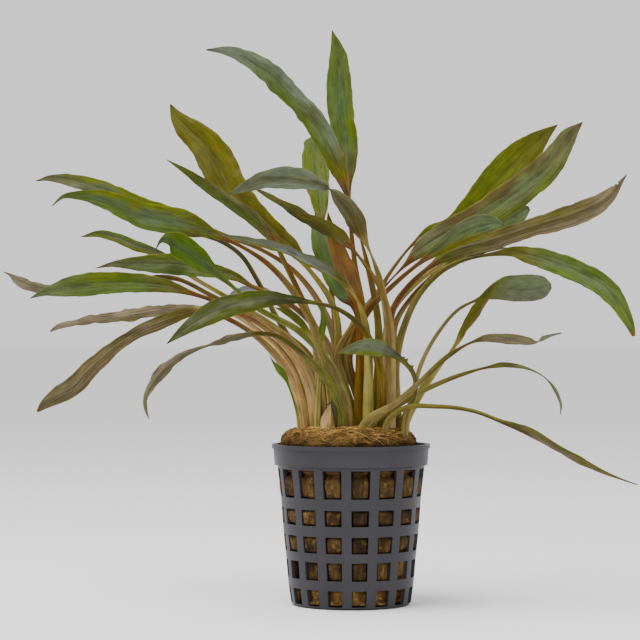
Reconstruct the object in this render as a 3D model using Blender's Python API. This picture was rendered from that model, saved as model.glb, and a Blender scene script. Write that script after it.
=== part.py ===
"""Potted cryptocoryne: a rosette water plant in a net pot packed with mineral wool.

Lengths are written in millimetres and turned to metres where a mesh is made. +Z is up, the origin
is the centre of the pot's underside, and the plant's front looks along -Y.
"""
import math
from typing import NamedTuple

import bpy
import numpy as np

MM = 0.001

# Net pot
POT_HEIGHT = 53.3
LIP_RADIUS = 26.35
LIP_HEIGHT = 1.4
LIP_FLARE = 0.2
COLLAR_TOP_RADIUS = 25.85
COLLAR_FOOT_RADIUS = 25.5
COLLAR_FOOT_HEIGHT = 46.5
BODY_TOP_HEIGHT = 46.1
WALL = 1.2
FLOOR = 1.0
EDGE_ROUNDING = 0.9
BODY_HEIGHTS = (1.0, 3.5, 7, 15, 23, 31, 36.5, BODY_TOP_HEIGHT)
BODY_RADII = (19.95, 20.2, 20.85, 21.5, 22.35, 23.0, 23.35, 24.5)
WINDOW_ROWS = ((45.4, 36.2), (32.5, 27.3), (23.8, 18.4), (15.4, 9.5), (6.3, 1.0))
WINDOW_COLUMNS = 16
WINDOW_TURN = 7.6
WINDOW_HALF_TOP = 7.5
WINDOW_HALF_FOOT = 6.7
SLOT_OUTER_RADIUS = 16.0
SLOT_INNER_RADIUS = 9.0

# Mineral wool
WOOL_CLEARANCE = 0.8
WOOL_COLUMNS = 24
WOOL_SIDE_HEIGHTS = (1.5, 9, 16, 24, 33, 42, 50)
WOOL_MOUND = ((54.0, 22.9), (56.9, 21.2), (58.6, 17.5))
WOOL_LUMP = 0.7
WOOL_LUMPS_AROUND = 5
WOOL_LUMP_RISE = 14.0
MOUND_WAVE = 0.4
MOUND_WAVES_AROUND = 4
WOOL_HOLLOW_DEPTH = 5.0
WOOL_HOLLOW_TURN = 65.0
WOOL_HOLLOW_SPREAD = 35.0
WOOL_HOLLOW_TOP = 22.0
POCKET_GAP = 0.4
POCKET_TOP = 60.3

# The viewpoint that the leaf paths are drawn from, out in front of the pot's axis
EYE_DISTANCE = 770.0
EYE_HEIGHT = 87.0

# Leaves
STALK_SIDES = (150, 90, 30, -30, -90, -150)
MIDRIB_THICKNESS = 0.8
MARGIN_THICKNESS = 0.4
BLADE_FOLD = 12.0
STALK_FLARE = 1.6
NECK_LEAD = 2.0
NECK_LENGTH = 8.0
LEAST_COSINE = 0.45

POT_COLOUR = "54545B"
POT_ROUGHNESS = 0.45
WOOL_COLOUR = "9A7642"
WOOL_ROUGHNESS = 0.9
LEAF_ROUGHNESS = 0.5
SHARP_ANGLE = 40.0


class Leaf(NamedTuple):
    """One leaf, as a path from its foot in the wool to its tip.

    A stalk point is (across, up, radius) and a blade point (across, up, half width, turn), all as
    the eye sees them on the upright plane through the pot's axis. A turn of 0 shows the upper face
    and 180 the underside. The depths are how far behind that plane the foot, the neck and the tip
    are.
    """

    name: str
    colour: str
    depths: tuple
    stalk: list
    blade: list


LEAVES = [
    Leaf("leaf_top", "5B7040", depths=(2.2, 14, 24),
         stalk=[(3.2, 53, 1.2), (3.6, 80, 1.1), (4.2, 95, 1), (1.2, 114, 0.8), (-0.1, 127, 0.7)],
         blade=[(-0.5, 140, 0.8, 0), (-0.3, 146, 2.2, 0), (-1.2, 153, 3.7, 5), (-2.7, 160, 4.3, 8),
                (-3.7, 168, 4.5, 8), (-4, 176, 4, 5), (-4.3, 183, 2.9, 0), (-6.3, 191.3, 0.1, 0)]),
    Leaf("leaf_arch_left", "6B7560", depths=(-1, -3, -16),
         stalk=[(7.6, 53, 1.2), (9.2, 80, 1.1), (8.9, 95, 1), (6.6, 108, 0.9)],
         blade=[(-2.2, 139, 1.3, 0), (-4.7, 146.2, 3.1, -10), (-7.5, 152.3, 3.5, -15),
                (-12.5, 160.8, 3.6, -20), (-20, 169.3, 3.5, -25), (-27, 176.2, 3.5, -25),
                (-34, 181.4, 2.8, -20), (-41, 184.3, 1.6, -10), (-48.3, 184.8, 0.2, 0)]),
    Leaf("leaf_far_rounded", "66744F", depths=(13.5, 34, 70),
         stalk=[(-1.5, 53, 1.1), (-2.5, 66, 1.1), (-4, 80, 1), (-7, 108, 0.8)],
         blade=[(-10, 127, 1.2, 0), (-10.3, 133, 2.9, 0), (-11.2, 140, 4.3, 0), (-11.9, 147, 4.8, 0),
                (-11.8, 152, 4.2, 0), (-12.3, 155, 2.6, 0), (-12.5, 155.8, 0.5, 0)]),
    Leaf("leaf_blue_green", "5D7458", depths=(7.5, 12, 22),
         stalk=[(3.8, 53, 1.2), (4.3, 80, 1.1), (3.6, 90, 1.1), (2, 97, 1.1)],
         blade=[(0.8, 99.5, 1.2, 0), (-1.5, 102.5, 2.8, 0), (-4.5, 108, 4, 0), (-7.5, 115, 4.2, 0),
                (-9.8, 121, 3.6, 0), (-11, 126, 2.2, 0), (-11.8, 130.3, 0.2, 0)]),
    Leaf("leaf_olive_strip", "6A6A18", depths=(-8.6, -24, -42),
         stalk=[(13, 53, 1.1), (13.4, 66, 1.1), (13.6, 80, 1), (13.3, 92, 0.9), (11, 102.3, 0.8),
                (5.6, 111.8, 0.7)],
         blade=[(0, 118.8, 1, 40), (-3, 121.9, 2, 50), (-7, 125, 2.5, 55), (-11, 127.2, 2.3, 55),
                (-15, 129.3, 1.8, 55), (-20, 132, 1.4, 55), (-26, 135.4, 1, 55), (-33, 139, 0.1, 55)]),
    Leaf("leaf_red_brown", "8A5A35", depths=(-5, -15, -25),
         stalk=[(2.2, 53, 1.3), (2.6, 66, 1.3), (3, 80, 1.3), (3, 93, 1.3)],
         blade=[(2.4, 100, 1.5, 180), (1, 104.5, 2.6, 180), (-0.7, 108.5, 3.4, 180),
                (-2.6, 113, 3.2, 180), (-4.8, 118.5, 2.6, 180), (-6.3, 123.5, 1.7, 180),
                (-7.2, 127.3, 0.9, 180), (-7.7, 130.6, 0.1, 180)]),
    Leaf("leaf_front_twist", "6F7563", depths=(-3, -20, -52),
         stalk=[(9.8, 53, 1.3), (11, 66, 1.3), (12, 80, 1.2), (12, 95, 1.1), (9.6, 108, 1)],
         blade=[(4.8, 120.8, 1, 180), (3.4, 123.8, 2.2, 180), (1.8, 127.3, 3.1, 180), (-0.4, 131, 3, 180),
                (-3.6, 134.8, 2.3, 180), (-6.3, 137.5, 0.8, 120), (-10, 139.4, 1.9, 0),
                (-15, 141.3, 3.1, 0), (-22, 142, 3.6, 0), (-29, 141.3, 2.8, 0), (-35, 139.1, 1.8, 0),
                (-41, 136.3, 0.1, 0)]),
    Leaf("leaf_broad_yellow", "6E6C1C", depths=(5, 14, 36),
         stalk=[(-6, 53, 1.2), (-5.6, 66, 1.2), (-4.6, 80, 1.2), (-5.2, 97, 1), (-7.4, 102.4, 1),
                (-10.8, 107.4, 0.9)],
         blade=[(-15.6, 113.4, 1, 0), (-19.2, 118.2, 2.5, 0), (-23, 122, 2.9, 0), (-29, 127.6, 3.3, 0),
                (-35, 133.2, 4.4, 0), (-41, 140, 6, 0), (-45, 147.8, 6.3, 0), (-49.2, 153.8, 5.3, 0),
                (-54.5, 158.4, 4.2, 0), (-58, 162.2, 2.4, 0), (-60.3, 166.6, 0.2, 0)]),
    Leaf("leaf_before_broad", "5D6B42", depths=(3, 0, -14),
         stalk=[(-9.3, 53, 1.2), (-9.6, 66, 1.3), (-11, 80, 1.1), (-13.6, 95, 0.9), (-17.7, 104.6, 0.9),
                (-21.7, 112.8, 0.9)],
         blade=[(-25.6, 120.4, 0.9, 0), (-28, 123.6, 1.7, 10), (-32, 128, 2.2, 15), (-37, 131.6, 2.1, 15),
                (-43, 135.6, 1.9, 15), (-50, 140.6, 1.7, 10), (-56, 144.7, 0.9, 0),
                (-61.6, 148.1, 0.1, 0)]),
    Leaf("leaf_slate_strip", "7A8577", depths=(-8, -28, -60),
         stalk=[(5.9, 53, 1.3), (5.7, 66, 1.3), (5.8, 82, 1.2), (4.4, 95, 1)],
         blade=[(0.4, 104, 0.7, -50), (-3.5, 107.8, 1.4, -55), (-8, 110.8, 1.6, -55),
                (-14, 114, 1.6, -55), (-20, 116.8, 1.6, -55), (-27, 119.1, 1.3, -55),
                (-35, 121.1, 1, -55), (-44.3, 122.9, 0.1, -50)]),
    Leaf("leaf_long_teal", "5F7048", depths=(-2, -9, -28),
         stalk=[(-5, 53, 1.2), (-5.5, 66, 1.2), (-8.2, 80, 1.2), (-13.4, 94.5, 1.1), (-19.6, 104.4, 1),
                (-27, 112.6, 0.9)],
         blade=[(-41.5, 121.5, 0.9, 0), (-46, 123.4, 1.5, -10), (-51, 125.2, 3.2, -15),
                (-57, 127.1, 4.4, -15), (-64, 128.2, 4.5, -15), (-70.5, 129.6, 4.1, -15),
                (-77, 132.6, 3.7, -15), (-84, 135.2, 2.7, -10), (-91, 136.2, 1.5, 0),
                (-96, 135.8, 0.7, 0), (-100, 132.5, 0.1, 0)]),
    Leaf("leaf_behind_teal", "747A5E", depths=(8.6, 22, 40),
         stalk=[(-4.4, 53, 1.1), (-4.2, 66, 1.1), (-4.4, 82, 1), (-7.2, 93.4, 1), (-11.5, 101.8, 0.9),
                (-18.9, 110.8, 0.8), (-30, 118, 0.7)],
         blade=[(-42, 122.6, 0.9, 0), (-50, 125.3, 1.6, 0), (-60, 129.4, 2.9, 0), (-70, 132.7, 3, 0),
                (-78, 136.2, 3, 0), (-84, 138.8, 2.7, 0), (-90, 140.4, 2.5, 0), (-96, 141.6, 1.9, 0),
                (-101, 141.9, 1, 0), (-105.3, 141, 0.1, 0)]),
    Leaf("leaf_under_teal", "5F6B3C", depths=(14, 36, 56),
         stalk=[(-10.2, 53, 1), (-11.6, 66, 1), (-17, 82, 0.9), (-25.4, 96.5, 0.8), (-31.6, 108.4, 0.8),
                (-36.4, 115.8, 0.8)],
         blade=[(-44, 121.2, 0.9, 0), (-50, 123.8, 1.6, 0), (-56, 126.4, 2.4, 0), (-62, 128.6, 2.3, 0),
                (-67.5, 129.6, 1.2, 0), (-71, 129.6, 0.1, 0)]),
    Leaf("leaf_left_small_arch", "6F7450", depths=(10, 32, 58),
         stalk=[(-7.6, 53, 1.1), (-8.6, 66, 1.1), (-14, 82.5, 1), (-25, 91.8, 0.9), (-42, 102.5, 0.8)],
         blade=[(-53, 109, 0.8, 0), (-60, 114.2, 1.2, 0), (-66, 117.4, 1.5, 0), (-72, 119.4, 1.9, 0),
                (-78, 121.9, 1.7, 0), (-84, 123.3, 1.3, 0), (-90.2, 122.3, 0.1, 0)]),
    Leaf("leaf_dark_green", "555F35", depths=(2.4, 12, 26),
         stalk=[(-1, 53, 1.2), (-1.4, 66, 1.2), (-3.6, 77, 1.1), (-9, 88.4, 1), (-17, 97.2, 0.9),
                (-25, 102.6, 0.8)],
         blade=[(-33, 105.8, 0.7, 0), (-39, 109.2, 1.6, 0), (-45, 110.8, 2.3, 0), (-51, 112, 3.2, 0),
                (-58, 113.1, 3.7, 0), (-66, 113.4, 3.2, 0), (-73, 113.4, 2.2, 0), (-80, 113.1, 0.9, 0),
                (-85.3, 111.8, 0.1, 0)]),
    Leaf("leaf_bright_green", "5F8420", depths=(-6, -18, -34),
         stalk=[(-0.6, 53, 1.2), (-1.5, 66, 1.2), (-6, 78, 1.1), (-17, 90.6, 1), (-31, 98.4, 0.9)],
         blade=[(-42, 107.8, 0.9, 0), (-46, 111, 1.8, -10), (-50, 114, 3.4, -15), (-54, 117.2, 3.8, -15),
                (-58.1, 119.6, 3.9, -20), (-61, 121.3, 2.2, -30), (-63.2, 121, 0.8, -20),
                (-65.2, 118, 0.1, 0)]),
    Leaf("leaf_left_level", "5F7238", depths=(0, 4, 12),
         stalk=[(-11.2, 53, 1.3), (-12.2, 65, 1.4), (-14, 73, 1.4), (-17.4, 80.5, 1.3), (-23, 87.3, 1.1),
                (-31, 93.6, 0.9), (-42, 99.4, 0.8)],
         blade=[(-53, 103.4, 0.9, 0), (-60, 105.5, 2, -8), (-67, 106.6, 2.9, -10), (-75, 106.9, 3.4, -10),
                (-83, 106.8, 3.8, -10), (-91, 106, 3.8, -10), (-97, 105, 2.7, -8),
                (-102.5, 103.8, 1.3, 0), (-107.2, 101.8, 0.1, 0)]),
    Leaf("leaf_far_left", "77705A", depths=(6.4, 22, 42),
         stalk=[(-9, 53, 1.1), (-9.4, 66, 1.1), (-12.6, 78, 1.1), (-21, 88.2, 1), (-32, 95, 0.9),
                (-46, 102.4, 0.8)],
         blade=[(-60, 108.6, 0.9, 0), (-70, 107.6, 1.8, 0), (-80, 107, 2.6, 0), (-90, 105.6, 2.8, 0),
                (-99, 104.4, 1.9, 0), (-106, 105.6, 1.8, 0), (-111, 107.6, 1.7, 0), (-114, 109.7, 0.5, 0),
                (-116.2, 110.7, 0.1, 0)]),
    Leaf("leaf_lilac_back", "9A98A0", depths=(12.6, 38, 74),
         stalk=[(-5.4, 53, 1.1), (-6, 66, 1.1), (-9, 80, 1), (-15, 91, 0.9), (-21, 98, 0.9)],
         blade=[(-25, 101, 1.5, 0), (-29, 103.3, 2.2, 0), (-33, 104.2, 2, 0), (-37, 103.6, 1.9, 0),
                (-40, 102, 1.3, 0), (-42, 100.2, 0.2, 0)]),
    Leaf("leaf_pinkish_low", "8A705A", depths=(3.4, 4, 8),
         stalk=[(-13.9, 53, 1.2), (-15, 65, 1.2), (-17, 72.4, 1.2), (-20, 79.4, 1.1), (-24.6, 85.4, 1),
                (-31, 91, 0.9), (-39, 96.3, 0.8)],
         blade=[(-49, 98.4, 0.8, 180), (-56, 98.5, 1.2, 190), (-63, 97.9, 1.8, 190), (-71, 96.6, 2, 190),
                (-79, 95.4, 1.8, 190), (-86, 94.8, 1.6, 190), (-93, 93.4, 1, 190), (-98, 92.2, 0.9, 180),
                (-100.4, 90.7, 0.3, 180)]),
    Leaf("leaf_long_brown", "746640", depths=(-3.4, -8, -20),
         stalk=[(-15.9, 53, 1.2), (-17, 65, 1.2), (-19, 72, 1.2), (-21.8, 78.2, 1.1), (-26, 83.7, 1),
                (-40, 94.4, 0.8)],
         blade=[(-50, 97.6, 0.9, 180), (-56, 96.4, 1.7, 190), (-63, 93.8, 2.3, 190), (-70, 91, 2.1, 190),
                (-76, 87.4, 2, 190), (-82, 82.7, 2.5, 190), (-88, 77.2, 3, 190), (-92.6, 72.3, 3.2, 190),
                (-98, 69.2, 2.7, 190), (-102, 66.6, 1.7, 180), (-104.7, 64, 0.4, 180)]),
    Leaf("leaf_front_grey", "6A7058", depths=(-6.4, -40, -72),
         stalk=[(9, 53, 1.2), (9.8, 66, 1.2), (9.2, 80, 1.1), (4.2, 91.3, 0.9), (-4, 98, 0.7)],
         blade=[(-13, 100.4, 0.7, 0), (-20, 101.4, 1.4, -10), (-26, 101.7, 2.3, -20), (-32, 101, 3, -25),
                (-38, 99.8, 3.4, -25), (-44, 97.9, 3.5, -25), (-50, 94.8, 2.8, -20),
                (-56, 90.9, 1.6, -10), (-61.5, 86.6, 0.1, 0)]),
    Leaf("leaf_curled_left", "7C745C", depths=(-9, -34, -60),
         stalk=[(-2.8, 53, 1.1), (-3.6, 64, 1.1), (-6.6, 72.6, 1.1), (-12.4, 79.6, 1), (-19.4, 85.8, 0.8),
                (-25, 89.3, 0.7)],
         blade=[(-31, 90, 0.8, 180), (-38, 88.9, 1.1, 190), (-44, 87.2, 1, 210), (-50, 85.2, 0.5, 240),
                (-55, 83.4, 0.8, 210), (-60, 80.1, 1.5, 180), (-64, 76.3, 1.8, 170), (-67, 72, 1.2, 170),
                (-68.7, 67.6, 0.7, 170), (-68.4, 64.5, 0.5, 180), (-67.4, 61.5, 0.1, 180)]),
    Leaf("leaf_small_green", "5A8A10", depths=(-6, -10, -16),
         stalk=[(-17.1, 53, 0.5), (-17.6, 61, 0.45), (-20.2, 71, 0.35)],
         blade=[(-21.2, 73.6, 0.4, 0), (-21.8, 75.2, 0.8, 20), (-23.1, 77.2, 1.2, 30),
                (-24.8, 79.2, 0.8, 20), (-26.2, 81, 0.3, 0), (-27.2, 82.8, 0.05, 0)]),
    Leaf("leaf_front_blue", "6A8060", depths=(-9.4, -28.5, -64),
         stalk=[(17.4, 53, 1.1), (18.4, 62, 1.1), (21.6, 71, 0.7), (20.8, 76.6, 0.8)],
         blade=[(17.4, 80.8, 0.9, 0), (14, 83.2, 1.3, 0), (11, 84.6, 2.1, 0), (7, 85.5, 2.8, 0),
                (3, 85.3, 2.4, 0), (-1, 84.4, 1.3, 0), (-4.8, 83.4, 0.1, 0)]),
    Leaf("leaf_right_bright", "6F7400", depths=(5.4, 26, 48),
         stalk=[(-0.6, 53, 1.1), (-1.6, 66, 1.1), (-2.2, 80, 1), (0.6, 93, 0.9), (8.4, 103, 0.8),
                (14.5, 112.4, 0.6)],
         blade=[(21.6, 120.6, 0.8, 0), (26, 123.6, 2.2, 0), (33, 126.6, 2.3, 0), (38.4, 130.6, 3.8, 0),
                (43.6, 134.9, 5.5, 0), (49.1, 140.9, 6.3, 0), (54.8, 147.2, 6, 0), (60.7, 152.8, 4.3, 0),
                (65.3, 156.9, 1.9, 0), (68.9, 159.6, 0.1, 0)]),
    Leaf("leaf_right_grey", "6A7A5A", depths=(-1, 6, 4),
         stalk=[(1.6, 53, 1.2), (-0.4, 66, 1.2), (-4.4, 82, 1.1), (5, 98, 1)],
         blade=[(19, 113.8, 1, 0), (24, 118.6, 3, 8), (30, 122.6, 3.9, 10), (38, 126.4, 4.4, 10),
                (45, 130, 4.9, 10), (52, 134.6, 5.2, 10), (59, 139.8, 5.1, 10), (65, 145, 4.8, 10),
                (69.3, 150.6, 3.8, 8), (72.6, 155.9, 2.8, 0), (77.2, 160.5, 0.1, 0)]),
    Leaf("leaf_right_blue", "6A7D5A", depths=(7, 20, 40),
         stalk=[(11.8, 53, 1.1), (11.4, 66, 1.1), (11.4, 80, 1), (13, 96, 0.9), (21, 106, 0.8)],
         blade=[(30, 112.8, 0.9, 0), (36, 116.4, 2, 0), (42, 120.6, 3, 0), (48, 124.8, 3.4, 0),
                (53, 128.2, 3.6, 0), (57, 130.6, 2.7, 0), (59.3, 131.8, 0.8, 0)]),
    Leaf("leaf_right_arc", "6F7F66", depths=(-2, -12, -33),
         stalk=[(5, 53, 1.2), (3.2, 66, 1.2), (-0.8, 82, 1.1), (5.4, 97, 1), (15, 107, 0.8)],
         blade=[(24, 114.4, 0.9, 0), (30, 118.6, 2.2, 10), (36, 122.6, 3.4, 15), (42, 125.3, 3.9, 15),
                (47, 126.4, 2.8, 10), (51, 126, 0.4, 0)]),
    Leaf("leaf_right_long", "6E6A14", depths=(1.8, -6, -22),
         stalk=[(12.6, 53, 1.2), (13.2, 82, 1.1), (14.4, 99, 1), (20, 106.7, 0.9)],
         blade=[(27.3, 113, 1, 180), (32, 116.2, 2.2, 190), (38, 118.6, 2.8, 190), (45, 120.4, 3, 190),
                (52, 122.6, 3.1, 190), (60, 125.4, 3, 190), (68, 127.6, 3.5, 190), (75, 130, 3.6, 190),
                (81, 132.6, 3.3, 190), (86, 136, 2.3, 190), (89.4, 139.8, 0.9, 180),
                (91.8, 143, 0.1, 180)]),
    Leaf("leaf_right_dark", "4A4A20", depths=(5.4, 22, 52),
         stalk=[(15.6, 53, 1.1), (15, 66, 1.1), (14.6, 80, 1), (14.8, 93, 0.9), (21, 103, 0.8)],
         blade=[(28, 109.7, 0.9, 180), (33, 113, 1.4, 180), (38, 115.8, 1.4, 180), (43, 117.4, 1.2, 180),
                (48, 118.2, 0.6, 180), (52, 118.6, 0.1, 180)]),
    Leaf("leaf_right_green", "5F7A30", depths=(-1.4, -14, -36),
         stalk=[(15.6, 53, 1.2), (15, 66, 1.2), (14.9, 80, 1.1), (17.4, 91.5, 1), (23, 103.4, 0.9),
                (32, 112, 0.8)],
         blade=[(48, 116.6, 0.8, 0), (54, 117.2, 1.7, 8), (60, 115.9, 2.9, 10), (66, 114.2, 3.4, 10),
                (72, 112, 3.5, 10), (78, 109.3, 3.5, 10), (83.4, 106.2, 3.5, 10), (87.8, 101.8, 3, 8),
                (91, 96.5, 2.1, 5), (93, 92.5, 1.4, 0), (94.1, 89.2, 0.6, 0)]),
    Leaf("leaf_round_end", "6F7858", depths=(3.4, 22, 62),
         stalk=[(18.2, 53, 1), (18.6, 61, 1), (20.6, 70, 0.8), (23.6, 80.4, 0.7), (29, 90.2, 0.65),
                (36, 98.2, 0.6)],
         blade=[(43, 101.7, 0.8, 0), (47, 103.6, 2.6, 0), (51, 104.8, 4.2, 0), (56, 105.1, 4.7, 0),
                (61, 105.3, 4.6, 0), (64.6, 105.6, 3.4, 0), (66.6, 105.8, 1, 0)]),
    Leaf("leaf_olive_edge", "7A7414", depths=(-4.6, -10, -20),
         stalk=[(15.2, 53, 1.4), (18, 61, 1.5), (26.8, 75.8, 1.1)],
         blade=[(35.2, 86.8, 0.8, 40), (37.4, 90.6, 1.2, 50), (40.4, 95.4, 1.6, 50), (43, 99.4, 1.7, 50),
                (45.6, 103, 1.5, 40), (48.2, 105.9, 0.8, 20), (53, 109.2, 0.1, 0)]),
    Leaf("leaf_twisted_tip", "5C7A20", depths=(-16, -40, -60),
         stalk=[(1, 53, 1.1), (5, 61, 1.1), (14, 66.3, 1), (22, 73, 0.9), (33, 83, 0.8)],
         blade=[(41.6, 87.6, 0.6, 160), (45, 88.4, 1.2, 150), (50, 88.2, 1.5, 150), (55, 87.9, 1.6, 150),
                (59, 87.5, 1.3, 160), (61.9, 87.3, 0.5, 100), (64.4, 88.6, 0.7, 20), (67, 89.5, 0.4, 0),
                (70, 90.2, 0.2, 0)]),
    Leaf("leaf_hooked_tip", "6E7040", depths=(-11.6, -15, -34),
         stalk=[(4.4, 53, 1), (8, 60.8, 1), (17, 67, 0.9), (37, 76.4, 0.7)],
         blade=[(45.6, 78.8, 0.5, 0), (50, 79.5, 0.85, 30), (55, 79.2, 0.7, 30), (60, 77.9, 0.35, 30),
                (65, 74.9, 0.2, 30), (67.4, 72, 0.5, 30), (69, 69, 0.5, 20), (69.9, 66, 0.4, 0),
                (69.6, 63, 0.1, 0)]),
    Leaf("leaf_low_right", "7D742A", depths=(-13.4, -36, -54),
         stalk=[(11.2, 53, 0.9), (12, 60.6, 0.9), (17, 64.8, 0.8), (29, 65.7, 0.7), (40, 64.4, 0.65)],
         blade=[(51, 60.4, 0.8, 160), (56, 58.6, 1.2, 150), (62, 55.8, 1.35, 150), (69, 51.6, 1.1, 150),
                (76, 47.8, 1.15, 150), (83, 44.3, 0.7, 160), (89, 41.9, 0.35, 180),
                (95.3, 39.7, 0.15, 180)]),
    Leaf("leaf_new_green", "5A8A28", depths=(-8, -18, -29),
         stalk=[(-6.2, 53, 0.9), (-6.8, 66, 0.8), (-8.6, 78, 0.7), (-11.2, 85.6, 0.7)],
         blade=[(-13.6, 89.4, 0.7, 0), (-15.8, 92.5, 1.1, 0), (-18.4, 95.2, 1.3, 0),
                (-21.4, 97.2, 1.1, 0), (-25.4, 98.7, 0.1, 0)]),
    Leaf("leaf_centre_green", "5A8428", depths=(-6.5, -13, -12),
         stalk=[(-11.2, 53, 0.8), (-11, 66, 0.8), (-10.2, 78, 0.7)],
         blade=[(-10.2, 86.4, 0.5, 0), (-9.7, 90.6, 1.1, 0), (-9.2, 94.6, 1, 0), (-9.7, 98, 0.6, 0),
                (-11, 101, 0.1, 0)]),
    Leaf("leaf_pink_sheath", "A07060", depths=(-13, -13.2, -13.4),
         stalk=[(-7.9, 53, 1.2)],
         blade=[(-8.4, 57.6, 1.6, 180), (-8.3, 61, 1.8, 180), (-7.6, 64, 1, 180), (-6.7, 66.6, 0.1, 180)]),
    Leaf("leaf_small_dark", "4A4028", depths=(-14.6, -16, -18),
         stalk=[(-5, 53, 0.4)],
         blade=[(-4.9, 59, 0.4, 0), (-5.2, 62, 0.7, 0), (-5.6, 65, 0.9, 0), (-6.6, 67, 0.5, 0),
                (-8.2, 66, 0.1, 0)]),
]


def smooth_step(value):
    """0 below 0, 1 above 1 and an S-curve between them."""
    value = np.clip(value, 0, 1)
    return value * value * (3 - 2 * value)


def linear_colour(code):
    """An sRGB hex code as linear red, green, blue and alpha."""
    parts = [int(code[i:i + 2], 16) / 255 for i in (0, 2, 4)]
    return [p / 12.92 if p <= 0.04045 else ((p + 0.055) / 1.055) ** 2.4 for p in parts] + [1]


def new_material(name, colour, roughness):
    """A plain Principled material of one colour."""
    material = bpy.data.materials.new(name)
    material.use_nodes = True
    shader = material.node_tree.nodes["Principled BSDF"]
    shader.inputs["Base Color"].default_value = linear_colour(colour)
    shader.inputs["Roughness"].default_value = roughness
    shader.inputs["Metallic"].default_value = 0
    return material


def new_object(name, points, faces, colour, roughness):
    """A smooth-shaded mesh object from points in millimetres."""
    mesh = bpy.data.meshes.new(name)
    mesh.from_pydata((np.asarray(points) * MM).tolist(), [], faces)
    mesh.shade_smooth()
    mesh.set_sharp_from_angle(angle=math.radians(SHARP_ANGLE))
    mesh.materials.append(new_material(name, colour, roughness))
    thing = bpy.data.objects.new(name, mesh)
    bpy.context.collection.objects.link(thing)
    return thing


def unit(vectors):
    """Vectors scaled to length 1."""
    return vectors / np.linalg.norm(vectors, axis=-1, keepdims=True)


def around(radius, turn, height):
    """The point at a radius and a turn from the front, towards the right, in degrees."""
    angle = np.radians(turn)
    return np.stack(np.broadcast_arrays(radius * np.sin(angle), -radius * np.cos(angle), height), -1)


def body_radius(height):
    """Outer radius of the pot's tapered body."""
    return np.interp(height, BODY_HEIGHTS, BODY_RADII)


def pot_levels():
    """The wall from the lip's top to the floor's centre disc, as (outer radius, outer height,
    inner radius, inner height) rows, and the rows that start a ring of openings."""
    collar_inner = COLLAR_TOP_RADIUS - WALL
    lip_foot = POT_HEIGHT - LIP_HEIGHT
    levels = [
        (LIP_RADIUS, POT_HEIGHT, collar_inner + LIP_FLARE, POT_HEIGHT),
        (LIP_RADIUS, lip_foot, collar_inner, lip_foot),
        (COLLAR_TOP_RADIUS, lip_foot, collar_inner, lip_foot - LIP_FLARE),
        (COLLAR_FOOT_RADIUS, COLLAR_FOOT_HEIGHT, COLLAR_FOOT_RADIUS - WALL, COLLAR_FOOT_HEIGHT),
        (body_radius(BODY_TOP_HEIGHT), BODY_TOP_HEIGHT,
         body_radius(BODY_TOP_HEIGHT) - WALL, BODY_TOP_HEIGHT),
    ]
    openings = []
    for top, foot in WINDOW_ROWS:
        openings.append(len(levels))
        for height in (top, foot):
            levels.append((body_radius(height), height, body_radius(height) - WALL, height))
    edge = body_radius(FLOOR)
    levels.append((edge - EDGE_ROUNDING, 0, edge - WALL - EDGE_ROUNDING, FLOOR))
    openings.append(len(levels))
    for radius in (SLOT_OUTER_RADIUS, SLOT_INNER_RADIUS):
        levels.append((radius, 0, radius, FLOOR))
    return levels, openings


def net_pot():
    """One moulded basket: every level is a ring of points, and each cell of the grid between two
    levels and two columns is a piece of wall unless it is a window or a slot in the floor."""
    levels, openings = pot_levels()
    count = 2 * WINDOW_COLUMNS
    outer_z = np.array([level[1] for level in levels])
    half = np.interp(outer_z, (0, BODY_TOP_HEIGHT), (WINDOW_HALF_FOOT, WINDOW_HALF_TOP))
    centres = WINDOW_TURN + np.arange(WINDOW_COLUMNS) * 360 / WINDOW_COLUMNS
    turns = np.stack([centres - half[:, None], centres + half[:, None]], -1).reshape(-1, count)
    table = np.array(levels)[:, None]
    outer = around(table[..., 0], turns, table[..., 1])
    inner = around(table[..., 2], turns, table[..., 3])
    points = np.concatenate([outer.reshape(-1, 3), inner.reshape(-1, 3)])
    inside = outer[..., 0].size

    def solid(level, column):
        if not 0 <= level < len(levels) - 1:
            return level >= len(levels) - 1
        return level not in openings or column % 2 == 1

    def rim(start, end):
        return [end, start, inside + start, inside + end]

    faces = []
    for level in range(len(levels) - 1):
        for column in range(count):
            if not solid(level, column):
                continue
            after = (column + 1) % count
            ring = [level * count + column, (level + 1) * count + column,
                    (level + 1) * count + after, level * count + after]
            beside = [(level, (column - 1) % count), (level + 1, column), (level, after),
                      (level - 1, column)]
            faces.append(ring)
            faces.append([inside + corner for corner in reversed(ring)])
            for side in range(4):
                if not solid(*beside[side]):
                    faces.append(rim(ring[side], ring[(side + 1) % 4]))
    last = [(len(levels) - 1) * count + column for column in range(count)]
    faces.append(last[::-1])
    faces.append([inside + corner for corner in last])
    for column in range(0, count, 2):
        faces.append(rim(last[column + 1], last[column]))
    return new_object("net_pot", points, faces, POT_COLOUR, POT_ROUGHNESS)


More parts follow.
